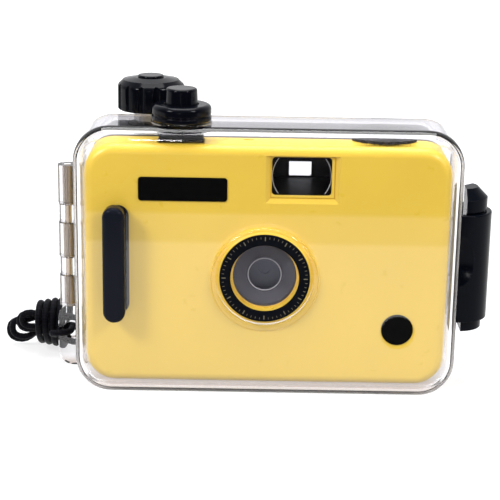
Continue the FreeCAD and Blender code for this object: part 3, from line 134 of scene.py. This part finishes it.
class Look(Graph):
    """One procedural material."""

    def __init__(self, name):
        self.mat = bpy.data.materials.new(name)
        self.mat.use_nodes = True
        super().__init__(self.mat.node_tree)
        self.shader = self.tree.nodes["Principled BSDF"]
        self.out = self.tree.nodes["Material Output"]
        self.where = self.node("ShaderNodeTexCoord").outputs["Object"]

    def noise(self, scale, detail=3, stretch=None):
        """Noise over the object's own place; scale is in cells per metre."""
        made = self.node("ShaderNodeTexNoise")
        made.inputs["Scale"].default_value = scale
        made.inputs["Detail"].default_value = detail
        where = self.where
        if stretch:
            mapping = self.node("ShaderNodeMapping")
            mapping.inputs["Scale"].default_value = stretch
            self.wire(where, mapping.inputs["Vector"])
            where = mapping.outputs["Vector"]
        self.wire(where, made.inputs["Vector"])
        return made.outputs["Fac"]

    def around(self, spot, radius, soft, inside, outside):
        """One number within this many millimetres of a spot, and another beyond it."""
        apart = self.node("ShaderNodeVectorMath", operation="DISTANCE")
        self.wire(self.where, apart.inputs[0])
        apart.inputs[1].default_value = [c * MM for c in spot]
        return self.remap(apart.outputs["Value"], radius * MM, (radius + soft) * MM, inside, outside)

    def edge(self, radius):
        """How much the surface turns within this distance, from 0 on flats to 1 on sharp edges."""
        bevel = self.node("ShaderNodeBevel", samples=4)
        bevel.inputs["Radius"].default_value = radius
        dot = self.node("ShaderNodeVectorMath", operation="DOT_PRODUCT")
        self.wire(bevel.outputs[0], dot.inputs[0])
        self.wire(self.node("ShaderNodeNewGeometry").outputs["Normal"], dot.inputs[1])
        return self.remap(dot.outputs["Value"], 0.995, 0.8, 0, 1), bevel.outputs[0]

    def bump(self, height, strength, distance, normal=None):
        made = self.node("ShaderNodeBump")
        made.inputs["Strength"].default_value = strength
        made.inputs["Distance"].default_value = distance
        self.wire(height, made.inputs["Height"])
        if normal is not None:
            self.wire(normal, made.inputs["Normal"])
        self.wire(made.outputs[0], self.shader.inputs["Normal"])

    def set(self, **values):
        """Set the shader's own sockets."""
        for key, value in values.items():
            self.put(self.shader.inputs[key.replace("_", " ")], value)


def add(name, data):
    """Link new data into the scene as an object."""
    thing = bpy.data.objects.new(name, data)
    scene.collection.objects.link(thing)
    return thing


def mesh_piece(name, points, faces, smooth=True):
    """A mesh from points in millimetres."""
    mesh = bpy.data.meshes.new(name)
    mesh.from_pydata([Vector(p) * MM for p in points], [], faces)
    for polygon in mesh.polygons:
        polygon.use_smooth = smooth
    mesh.update()
    return add(name, mesh)


def trim(name, points, faces, look, slot, smooth=True):
    """A small mesh piece fixed to the case."""
    piece = mesh_piece(name, points, faces, smooth)
    piece.data.materials.append(LOOKS[look])
    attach(piece, "case")


# Camera at the photograph's place
TILT, ROLL = 73.86, 0.95
lens = bpy.data.cameras.new("photo_camera")
lens.sensor_width = 36
lens.lens = 107.28
camera = add("photo_camera", lens)
camera.matrix_world = (Matrix.Translation((-0.00537, -0.46914, 0.17884))
                       @ Matrix.Rotation(math.radians(TILT), 4, "X")
                       @ Matrix.Rotation(math.radians(ROLL), 4, "Z"))
scene.camera = camera

# Strap: a hank of oval loops, the stretch through the lug, and the tie, each on its own spline
HANK_START = (-67.3, 16.2, 13.55)
HANK_END = (-66.1, 26.51, 6.25)
LUG_ROUTE = [HANK_START, (-66.3, 16.2, 13.55), (-65.4, 15.8, 13.5), (-64.8, 15.1, 13.45), (-64.4, 14.2, 13.4),
             (-64.4, 12.6, 13.2), (-64.7, 10.2, 12.9), (-65.1, 7.6, 12.5), (-65.2, 5.5, 12.3),
             (-65.6, 4.6, 12.2), (-66.3, 3.9, 12.15), (-67.3, 3.45, 12.1), (-69.6, 3.45, 11.9),
             (-70.8, 4.1, 11.6), (-71.6, 5.2, 11.2), (-71.8, 6.6, 10.7), (-71.3, 7.9, 10.1), (-70.3, 8.9, 9.4),
             (-68.6, 9.3, 8.6), (-66.9, 9.8, 7.6), (-65.4, 10.9, 6.7), (-64.1, 12.6, 6.0), (-63.4, 14.7, 5.5),
             (-63.2, 17.0, 5.3), (-63.15, 19.5, 5.3), (-63.25, 22.0, 5.6), (-63.2, 24.6, 6.0),
             (-63.55, 25.5, 6.15), (-64.2, 26.2, 6.2), (-65.1, 26.51, 6.25), HANK_END]
LOOPS = 4
HANK_Z = 9.9                    # middle height of the hank
RUN = 2.5                       # from a loop's middle height to its upper and lower run
LOOP_PITCH = 2.75               # from one loop to the next, front to back
TIE_TURNS = 4.25
TIE_PER_TURN = 12


def hank_points():
    """Control points of four loops that fan out on the left of the tie, sixteen to a turn."""
    points = [HANK_START]
    for k in range(LOOPS):
        sway = math.cos(math.pi * k / 3)
        middle = HANK_Z + 1.15 * sway
        after = HANK_Z + 1.15 * math.cos(math.pi * (k + 1) / 3)
        mean = (middle + after) / 2
        tip_x = -86.3 + 2.9 * sway
        tip_z = 8.6 + 3.3 * sway
        curl = 3.1 - 0.5 * sway
        turn = [(-69.3, middle + RUN, 0), (-73.6, middle + RUN, 0.5), (-78, middle + RUN, 1),
                (tip_x + 1.7 * curl, tip_z + curl, 1.7), (tip_x + 0.6 * curl, tip_z + curl, 2.3),
                (tip_x, tip_z + 0.5 * curl, 2.8), (tip_x, tip_z - 0.5 * curl, 3.2),
                (tip_x + 0.6 * curl, tip_z - curl, 3.7), (tip_x + 1.7 * curl, tip_z - curl, 4.3),
                (-78, middle - RUN, 5), (-73.6, middle - RUN, 5.5), (-69.3, middle - RUN, 6),
                (-67.2, middle - RUN, 6.4), (-65.9, mean - 1.2, 6.8), (-65.9, mean + 1.2, 7.2),
                (-67.2, after + RUN, 7.6)]
        if k == LOOPS - 1:
            turn = turn[:12]
        points += [(x, HANK_START[1] + LOOP_PITCH * (k + n / 8), z) for x, z, n in turn]
    return points + [HANK_END]


def tie_points():
    """Turns close round the hank, taller towards the lug, that start low behind it and end high behind it."""
    start_x, width, lean = -78.8, 10.4, 0.4
    middle_y, depth = 21.36, 9.5
    last = round(TIE_TURNS * TIE_PER_TURN)
    points = []
    for n in range(last + 1):
        angle = 2 * math.pi * n / TIE_PER_TURN - math.pi / 4
        share = n / last
        height, slope = 6.8 + 1.8 * share, 2.9 - 1.7 * share
        points.append((start_x + width * share + lean * math.sin(angle), middle_y + depth * math.cos(angle),
                       HANK_Z + height * math.sin(angle) - slope * math.cos(angle)))
    return points


def centreline(points):
    """Points along the spline of order 3 that has these control points, in millimetres."""
    curve = bpy.data.curves.new("route", "CURVE")
    curve.dimensions = "3D"
    spline = curve.splines.new("NURBS")
    spline.points.add(len(points) - 1)
    for point, at in zip(spline.points, points):
        point.co = (*at, 1)
    spline.order_u = 3
    spline.use_endpoint_u = True
    spline.resolution_u = 16
    holder = bpy.data.objects.new("route", curve)
    line = [v.co.copy() for v in bpy.data.meshes.new_from_object(holder).vertices]
    bpy.data.objects.remove(holder)
    return line


def evenly(line, step):
    """The same line with points a fixed step apart."""
    spots = [line[0]]
    left = step
    for a, b in zip(line, line[1:]):
        while (b - a).length >= left:
            a = a + (b - a).normalized() * left
            spots.append(a)
            left = step
        left -= (b - a).length
    return spots


def cord_piece(node, name, points):
    """A round braided cord as one mesh tube, with its length and turn kept as UV."""
    step, sides = 0.3, 16
    strands, braid = 3, 1.9     # raised yarns each way, and how far they turn in a millimetre
    spots = evenly(centreline(points), step)
    verts, faces, uvs = [], [], []
    across = None
    for n, spot in enumerate(spots):
        way = (spots[min(n + 1, len(spots) - 1)] - spots[max(n - 1, 0)]).normalized()
        across = (way.orthogonal() if across is None else across - way * across.dot(way)).normalized()
        other = way.cross(across)
        for s in range(sides):
            angle = 2 * math.pi * s / sides
            yarns = math.cos(strands * angle + braid * n * step) * math.cos(strands * angle - braid * n * step)
            reach = CORD_RADIUS * (0.95 + 0.05 * yarns)
            verts.append(spot + (across * math.cos(angle) + other * math.sin(angle)) * reach)
    for n in range(len(spots) - 1):
        for s in range(sides):
            t = (s + 1) % sides
            faces.append((n * sides + s, n * sides + t, (n + 1) * sides + t, (n + 1) * sides + s))
            uvs += [(n, s), (n, s + 1), (n + 1, s + 1), (n + 1, s)]
    last = (len(spots) - 1) * sides
    faces += [tuple(reversed(range(sides))), tuple(range(last, last + sides))]
    uvs += [(0, s) for s in range(sides)] + [(len(spots), s) for s in range(sides)]
    piece = mesh_piece(name, verts, faces)
    layer = piece.data.uv_layers.new(name="UVMap")
    for slot, (n, s) in zip(layer.data, uvs):
        slot.uv = (n * step, s / sides)
    piece.data.materials.append(LOOKS["cord"])
    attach(piece, "case")
    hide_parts(node)


def moulded(name, color, worn_and_highlight, roughness, grain, depth=0.00001, soft=0.00025, shine=0.5, wear_and_highlight_amount=0.8,
            ledge=None):
    """Moulded plastic: faint tone drift, a fine grain, and edges that are softened and painted lighter, partly
    as wear and partly as a painted highlight.

    A ledge is the colour that the lens mount has outside its dark middle.
    """
    look = Look(name)
    drift = look.remap(look.noise(30, 1), 0.3, 0.7, 0, 1)
    base = look.blend(drift, [0.95 * c for c in color] + [1], [*color, 1])
    edge, normal = look.edge(soft)
    # Lighter colour along the edges: partly wear, partly a painted highlight where light would catch them.
    wear_and_highlight = look.maths("MULTIPLY", edge, look.remap(look.noise(900, 2), 0.45, 0.62, 0, wear_and_highlight_amount))
    if ledge:
        base = look.blend(look.around((LENS_X, MOUNT_FRONT, LENS_Z), MOUNT_LEDGE, 0.1, 0, 1), base, [*ledge, 1])
    uneven = look.remap(look.noise(260, 4), 0.3, 0.7, roughness - 0.03, roughness + 0.05)
    look.set(Base_Color=look.blend(wear_and_highlight, base, [*worn_and_highlight, 1]),
             Roughness=look.maths("ADD", uneven, look.maths("MULTIPLY", wear_and_highlight, 0.15)),
             Specular_IOR_Level=shine)
    look.bump(look.noise(grain, 3), 0.2, depth, normal)
    return look


def front_pane(look, smear, passing, windows):
    """The flat clear front as one thin pane: how much of it is here, its shader, and where its windows are."""
    x, y, z = look.split(look.where)
    sheen = look.node("ShaderNodeBsdfGlossy")
    look.wire(look.remap(smear, 0, 1, 0.015, 0.05), sheen.inputs["Roughness"])
    facing_out = look.maths("SUBTRACT", 1.0, look.node("ShaderNodeNewGeometry").outputs["Backfacing"])
    open_here, glare = None, facing_out
    for spot, radius in windows:
        inside = look.around(spot, radius - 0.25, 0.5, 1, 0)
        open_here = inside if open_here is None else look.maths("MAXIMUM", open_here, inside)
        glare = look.maths("MULTIPLY", glare, look.maths("SUBTRACT", 1.0, inside))
    pane = look.mixed(look.maths("MULTIPLY", glare, PANE_GLARE), passing, sheen.outputs[0])
    off_middle = look.maths("ABSOLUTE", look.maths("SUBTRACT", z, PANE_Z * MM))
    flat = look.maths("MULTIPLY",
                      look.remap(look.maths("ABSOLUTE", x), PANE_HALF_X * MM, (PANE_HALF_X + 1) * MM, 1, 0),
                      look.remap(off_middle, PANE_HALF_Z * MM, (PANE_HALF_Z + 1) * MM, 1, 0))
    flat = look.maths("MULTIPLY", flat, look.remap(y, PANE_BACK * MM, (PANE_BACK + 0.1) * MM, 1, 0))
    off_port = look.around((LENS_X, CASE_FRONT, LENS_Z), PORT_FOOT, 0.5, 0, 1)
    return look.maths("MULTIPLY", flat, off_port), pane, open_here


def clear(name, tint, rim, foot, ior, windows=()):
    """Clear plastic, duller where it is seen edge on, and browner at its foot in a painted reflection of the
    yellow camera and painted shade.

    Light passes straight through it. A piece with windows has a flat front that is one thin pane, and the
    windows in it are coated against glare.
    """
    look = Look(name)
    smear = look.remap(look.noise(70, 4), 0.42, 0.75, 0, 1)
    scratch = look.remap(look.noise(420, 1, (1, 1, 14)), 0.66, 0.72, 0, 1)
    slant = look.node("ShaderNodeLayerWeight")
    slant.inputs[0].default_value = 0.5
    height = look.split(look.where)[2]
    # The brown foot colour is painted reflection and painted shade. It is strongest at the bottom and fades out
    # by the foot's top.
    dull = look.blend(look.remap(height, 1.5 * MM, 4.5 * MM, 1, 0), (*rim, 1), (*foot, 1))
    edge_on_and_painted_foot = look.maths("MAXIMUM", look.remap(slant.outputs["Facing"], 0.3, 0.95, 0, 1),
                         look.remap(height, 0.8 * MM, PAINTED_FOOT_TOP * MM, 0.75, 0))
    look.set(Base_Color=look.blend(edge_on_and_painted_foot, (*tint, 1), dull), IOR=ior, Transmission_Weight=1.0,
             Roughness=look.maths("ADD", look.remap(smear, 0, 1, 0, 0.03),
                                  look.maths("MULTIPLY", scratch, 0.03)))
    look.bump(look.noise(55, 1), 0.02, 0.0002)
    path = look.node("ShaderNodeLightPath").outputs
    passing = look.node("ShaderNodeBsdfTransparent")
    passing.inputs[0].default_value = (0.98, 0.98, 0.985, 1)
    surface = look.shader.outputs[0]
    straight = look.maths("MAXIMUM", path["Is Shadow Ray"], path["Is Diffuse Ray"])
    if windows:
        flat, pane, open_here = front_pane(look, smear, passing.outputs[0], windows)
        straight = look.maths("MAXIMUM", straight, open_here)
        surface = look.mixed(flat, surface, pane)
    look.wire(look.mixed(straight, surface, passing.outputs[0]), look.out.inputs["Surface"])
    return look


def woven(name):
    """Black braided nylon: crossing yarns from the tube's own UV, whose first part is in millimetres."""
    look = Look(name)
    u, v, _ = look.split(look.node("ShaderNodeTexCoord").outputs["UV"])
    along = look.maths("MULTIPLY", u, 3.8)
    around = look.maths("MULTIPLY", v, 2 * math.pi * 6)
    one = look.maths("SINE", look.maths("ADD", around, along))
    two = look.maths("SINE", look.maths("SUBTRACT", around, along))
    weave = look.maths("ADD", look.maths("MULTIPLY", look.maths("MULTIPLY", one, two), 0.5), 0.5)
    fibre = look.noise(5200, 2)
    look.set(Base_Color=look.blend(weave, (0.0004, 0.0004, 0.0008, 1), (0.006, 0.006, 0.01, 1)),
             Roughness=look.remap(fibre, 0.3, 0.7, 0.38, 0.62),
             Sheen_Weight=0.012, Specular_IOR_Level=0.05, Sheen_Roughness=0.4)
    look.bump(look.maths("ADD", weave, look.maths("MULTIPLY", fibre, 0.35)), 0.8, 0.00016)
    return look


def brushed_steel(name):
    """Drawn wire and pressed steel, streaked along its height."""
    look = Look(name)
    streaks = look.noise(700, 3, (1, 1, 0.06))
    look.set(Base_Color=look.blend(streaks, (0.3, 0.23, 0.17, 1), (0.5, 0.42, 0.34, 1)), Metallic=1.0,
             Roughness=look.remap(streaks, 0.3, 0.7, 0.2, 0.38))
    look.bump(streaks, 0.1, 0.00002)
    return look


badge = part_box("badge_disc")
BADGE_X, BADGE_Z = (sum(corner[axis] for corner in badge) / 2 / MM for axis in (0, 2))
PANE_GLARE = 0.115
LOOKS = {
    "yellow": moulded("yellow_plastic", (0.89, 0.6, 0.064), worn_and_highlight=(0.9, 0.68, 0.2), roughness=0.3, grain=2600,
                      soft=0.0004),
    # The black plastic's lighter edge colour is mostly a painted highlight.
    "black": moulded("black_plastic", (0.0024, 0.0028, 0.005), worn_and_highlight=(0.07, 0.07, 0.085), roughness=0.1,
                     grain=2200, soft=0.0003, shine=0.11, wear_and_highlight_amount=0.6),
    "bar": moulded("bar_plastic", (0.007, 0.008, 0.0135), worn_and_highlight=(0.03, 0.03, 0.04), roughness=0.14,
                   grain=3000, soft=0.0003, shine=0.06, wear_and_highlight_amount=0.5),
    "latch": moulded("latch_plastic", (0.002, 0.0028, 0.0055), worn_and_highlight=(0.05, 0.05, 0.065), roughness=0.14,
                     grain=3000, soft=0.0003, shine=0.06, wear_and_highlight_amount=0.6),
    "inner": moulded("dark_inner_plastic", (0.010, 0.0085, 0.009), worn_and_highlight=(0.04, 0.04, 0.04), roughness=0.45,
                     grain=1800, depth=0.00003, shine=0.15),
    "iris": moulded("iris_plastic", (0.19, 0.195, 0.23), worn_and_highlight=(0.2, 0.2, 0.22), roughness=0.4, grain=2600,
                    shine=0.2),
    "door": moulded("back_door_plastic", (0.05, 0.049, 0.055), worn_and_highlight=(0.1, 0.1, 0.11), roughness=0.42,
                    grain=1800, depth=0.00003, shine=0.2),
    "grey": moulded("grey_mount_plastic", (0.088, 0.087, 0.104), worn_and_highlight=(0.12, 0.12, 0.14), roughness=0.42,
                    grain=1500, depth=0.00002, shine=0.12, ledge=(0.82, 0.58, 0.15)),
    "plate": moulded("plain_plate", (0.002, 0.002, 0.002), worn_and_highlight=(0.01, 0.01, 0.01), roughness=0.4, grain=4000,
                     shine=0.04),
    "ring": moulded("ring_plate", (0.0028, 0.0038, 0.0062), worn_and_highlight=(0.01, 0.01, 0.012), roughness=0.4,
                    grain=4200, shine=0.04),
    "white": moulded("white_plastic", (0.78, 0.78, 0.76), worn_and_highlight=(0.8, 0.8, 0.8), roughness=0.4, grain=2000,
                     depth=0.00003),
    "seal": moulded("seal_rubber", (0.82, 0.81, 0.82), worn_and_highlight=(0.8, 0.8, 0.8), roughness=0.5, grain=1600,
                    depth=0.00003),
    "rim": moulded("lens_rim_plastic", (0.6, 0.6, 0.63), worn_and_highlight=(0.6, 0.6, 0.6), roughness=0.3, grain=2600,
                   shine=0.4),
    "gold": moulded("tick_paint", (0.2, 0.175, 0.115), worn_and_highlight=(0.2, 0.18, 0.12), roughness=0.45, grain=4000,
                    shine=0.1),
    "case": clear("clear_plastic", tint=(0.985, 0.98, 0.99), rim=(0.85, 0.83, 0.9), foot=(0.6, 0.475, 0.4),
                  ior=1.49, windows=(((LENS_X, PORT_MIDDLE, LENS_Z), PORT_OPENING),
                                     ((BADGE_X, CASE_FRONT, BADGE_Z), BADGE_OPENING))),
    "glass": clear("lens_glass", tint=(0.97, 0.975, 1.0), rim=(0.8, 0.8, 0.85), foot=(0.8, 0.8, 0.85),
                   ior=1.15),
    "cord": woven("braided_cord"),
    "steel": brushed_steel("steel"),
}
LOOKS = {name: look.mat for name, look in LOOKS.items()}

BY_SLOT = {"clear_plastic": "case", "black_plastic": "black", "dark_inner_plastic": "inner",
           "yellow_plastic": "yellow", "plain_plate": "plate", "white_plastic": "white", "seal_rubber": "seal",
           "steel": "steel", "lens_glass": "glass", "strap_cord": "cord"}
# The shutter blade takes the grey iris plastic as a painted reflection, so that the lens's middle looks
# lighter.
BY_NODE = {"camera_back_door": "door", "latch_lever": "latch", "lock_slider": "latch", "grip_bar": "bar",
           "grip_backing": "bar", "aperture_plate": "iris", "shutter_blade": "iris", "lens_mount": "grey",
           "lens_label_ring": "ring"}
for part in frame["record"]["subparts"]:
    thing = nodes[part["node"]]
    look = LOOKS[BY_NODE.get(part["node"], BY_SLOT[part["material_slot"]])]
    if not thing.material_slots:
        thing.data.materials.append(look)
    for slot in thing.material_slots:
        slot.material = look

cord_piece("strap_hank", "woven_hank", hank_points())
cord_piece("strap_cord", "woven_lug_stretch", LUG_ROUTE)
cord_piece("strap_tie", "woven_tie", tie_points())


# Plain tick marks round the label ring, a long one every fifth, with sides that slope in to a smaller face
TICKS = 60
TICK_OUT, TICK_RISE, TICK_SLOPE = 13.6, 0.04, 0.05
verts, faces = [], []
for n in range(TICKS):
    angle = 2 * math.pi * n / TICKS
    out = Vector((math.sin(angle), 0, math.cos(angle)))
    side = Vector((math.cos(angle), 0, -math.sin(angle)))
    start, wide = (12.3, 0.16) if n % 5 == 0 else (12.9, 0.09)
    base = len(verts)
    for r, y in ((start, RING_FACE), (TICK_OUT, RING_FACE),
                 (start + TICK_SLOPE, RING_FACE - TICK_RISE), (TICK_OUT - TICK_SLOPE, RING_FACE - TICK_RISE)):
        for w in (-wide, wide):
            verts.append(Vector((LENS_X, y, LENS_Z)) + out * r + side * w)
    faces += [tuple(base + i for i in face) for face in
              ((4, 5, 7, 6), (0, 1, 5, 4), (2, 6, 7, 3), (0, 4, 6, 2), (1, 3, 7, 5), (0, 2, 3, 1))]
trim("ring_ticks", verts, faces, "gold", "plain_plate", smooth=False)


def wire_round(centre, radius, thick, sides, starts, step, count):
    """Thin round wires that follow a circle facing the front, one from each start, in degrees.

    A wire that comes back to its start is closed, and any other has flat ends.
    """
    verts, faces = [], []
    closed = step * count == 360
    for start in starts:
        first = len(verts)
        for n in range(count):
            angle = math.radians(start + step * n)
            for s in range(sides):
                turn = 2 * math.pi * s / sides
                r = radius + thick * math.cos(turn)
                verts.append((centre[0] + r * math.cos(angle), centre[1] + thick * math.sin(turn),
                              centre[2] + r * math.sin(angle)))
        for n in range(count if closed else count - 1):
            a, b = first + n * sides, first + (n + 1) % count * sides
            faces += [(a + s, a + (s + 1) % sides, b + (s + 1) % sides, b + s) for s in range(sides)]
        if not closed:
            last = len(verts) - sides
            faces += [tuple(reversed(range(first, first + sides))), tuple(range(last, last + sides))]
    return verts, faces


def rounded(half_x, half_z, radius, at_x, at_z):
    """A rounded rectangle, eight points to a corner."""
    loop = []
    for k, (sx, sz) in enumerate(((1, 1), (-1, 1), (-1, -1), (1, -1))):
        for n in range(8):
            angle = math.radians(90 * k + 90 * n / 7)
            loop.append((at_x + sx * (half_x - radius) + radius * math.cos(angle),
                         at_z + sz * (half_z - radius) + radius * math.sin(angle)))
    return loop


# Bright rim round the inner lens, seen through the front one: a light grey wire that is a painted highlight on
# the lens's edge
INNER_HIGHLIGHT_RIM = (LENS_X, -15.45, LENS_Z)
trim("inner_lens_highlight_rim", *wire_round(INNER_HIGHLIGHT_RIM, 5.25, 0.13, sides=8, starts=[0], step=5, count=72),
     "rim", "lens_glass")

# Viewfinder: a rounded yellow surround in front of its pane, and the thin rim of the pane's lens
pane_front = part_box("viewfinder_window")[0][1] / MM
frame_front, frame_back = pane_front - 0.7, pane_front - 0.12
outer = rounded(half_x=9.9, half_z=6.55, radius=0.05, at_x=FINDER_X, at_z=FINDER_Z)
inner = rounded(half_x=9.35, half_z=6.1, radius=1.2, at_x=OPENING_X, at_z=OPENING_Z)
verts, faces = [], []
for loop, y in ((outer, frame_front), (inner, frame_front), (inner, frame_back), (outer, frame_back)):
    verts += [(x, y, z) for x, z in loop]
count = len(outer)
for k in range(4):
    a, b = count * k, count * ((k + 1) % 4)
    for n in range(count):
        after = (n + 1) % count
        faces.append((a + after, b + after, b + n, a + n))
trim("finder_surround", verts, faces, "yellow", "yellow_plastic", smooth=False)
arc_centre = (OPENING_X, pane_front - 0.13, OPENING_Z)
trim("finder_lens_rim", *wire_round(arc_centre, 9.2, 0.1, sides=6, starts=[-38, 142], step=2, count=39),
     "rim", "lens_glass")

# Floor: pale, and white to the camera and through the clear case. Glossy faces see it dark far in front, and
# brighter towards the object in two steps, at these distances in metres.
FLOOR_HALF, FLOOR_Z = 4000, -0.05
FAR_STEP, NEAR_STEP = (-0.254, -0.247), (-0.204, -0.198)
corners = ((-1, -1), (1, -1), (1, 1), (-1, 1))
floor = mesh_piece("floor", [(x * FLOOR_HALF, y * FLOOR_HALF, FLOOR_Z) for x, y in corners], [(0, 1, 2, 3)])
ground = Look("floor_paint")
ground.set(Base_Color=(0.33, 0.33, 0.34, 1), Roughness=0.9, Specular_IOR_Level=0.0)
back = ground.split(ground.node("ShaderNodeNewGeometry").outputs["Position"])[1]
path = ground.node("ShaderNodeLightPath").outputs
seen = ground.maths("MAXIMUM", path["Is Camera Ray"], path["Is Transmission Ray"])
pale = ground.glow("ShaderNodeEmission",
                   strength=ground.maths("MULTIPLY", ground.remap(back, 0.06, 0.6, 0.72, 1.0), seen))
both = ground.node("ShaderNodeAddShader")
ground.wire(ground.shader.outputs[0], both.inputs[0])
ground.wire(pale, both.inputs[1])
near = ground.maths("ADD", ground.remap(back, *FAR_STEP, 0.0, 0.62),
                    ground.remap(back, *NEAR_STEP, 0.0, 0.68))
mirrored = ground.maths("MULTIPLY", path["Is Glossy Ray"],
                        ground.maths("SUBTRACT", 1.0, path["Is Transmission Ray"]))
ground.wire(ground.mixed(mirrored, both.outputs[0], ground.glow("ShaderNodeEmission", strength=near)),
            ground.out.inputs["Surface"])
floor.data.materials.append(ground.mat)

# World: an even pale room; glossy faces and the clear case see it white behind and above, dim in front
world = bpy.data.worlds.new("studio")
world.use_nodes = True
scene.world = world
room = Graph(world.node_tree)
_, towards_back, upwards = room.split(room.node("ShaderNodeTexCoord").outputs["Generated"])


def ramp(source, stops):
    """Grey levels along a direction's part, which runs from -1 to 1."""
    made = room.node("ShaderNodeValToRGB")
    colors = made.color_ramp.elements
    colors[0].position, colors[-1].position = stops[0][0], stops[-1][0]
    for at, _ in stops[1:-1]:
        colors.new(at)
    for element, (_, level) in zip(colors, stops):
        element.color = (level, level, level * 1.02, 1)
    room.wire(room.remap(source, -1, 1, 0, 1), made.inputs[0])
    return made.outputs[0]


behind = ramp(towards_back, [(0.0, 0.02), (0.36, 0.06), (0.5, 0.36), (0.7, 0.9)])
above = ramp(upwards, [(0.0, 0.0), (0.7, 0.0), (0.84, 0.4), (1.0, 0.6)])
around = ramp(towards_back, [(0.0, 0.62), (0.35, 0.72), (0.5, 0.86), (0.7, 1.0)])
plain = room.tree.nodes["Background"]
plain.inputs["Color"].default_value = (1.0, 1.0, 1.0, 1)
plain.inputs["Strength"].default_value = 0.67
path = room.node("ShaderNodeLightPath").outputs
sky = "ShaderNodeBackground"
glossy = room.glow(sky, room.blend(1, behind, above, "LIGHTEN"))
light = room.mixed(path["Is Glossy Ray"], plain.outputs[0], glossy)
light = room.mixed(path["Is Transmission Ray"], light, room.glow(sky, around))
light = room.mixed(path["Is Camera Ray"], light, room.glow(sky))
room.wire(light, room.tree.nodes["World Output"].inputs["Surface"])

# Lamps, all turned towards the middle of the object
LAMPS = {"softbox_left": ((-0.5, -0.42, 0.52), 0.18, 3.1), "softbox_right": ((0.5, -0.42, 0.52), 0.16, 2.3),
         "softbox_front": ((-0.07, -0.56, 0.09), 0.035, 0.12), "softbox_top": ((0.0, 0.1, 0.8), 0.6, 7.0)}
AIM = Vector((0, 0, 0.04))
for name, (at, size, watts) in LAMPS.items():
    data = bpy.data.lights.new(name, "AREA")
    data.size = size
    data.energy = watts
    lamp = add(name, data)
    lamp.location = at
    lamp.rotation_euler = (AIM - Vector(at)).to_track_quat("-Z", "Y").to_euler()

scene.view_settings.view_transform = "Standard"
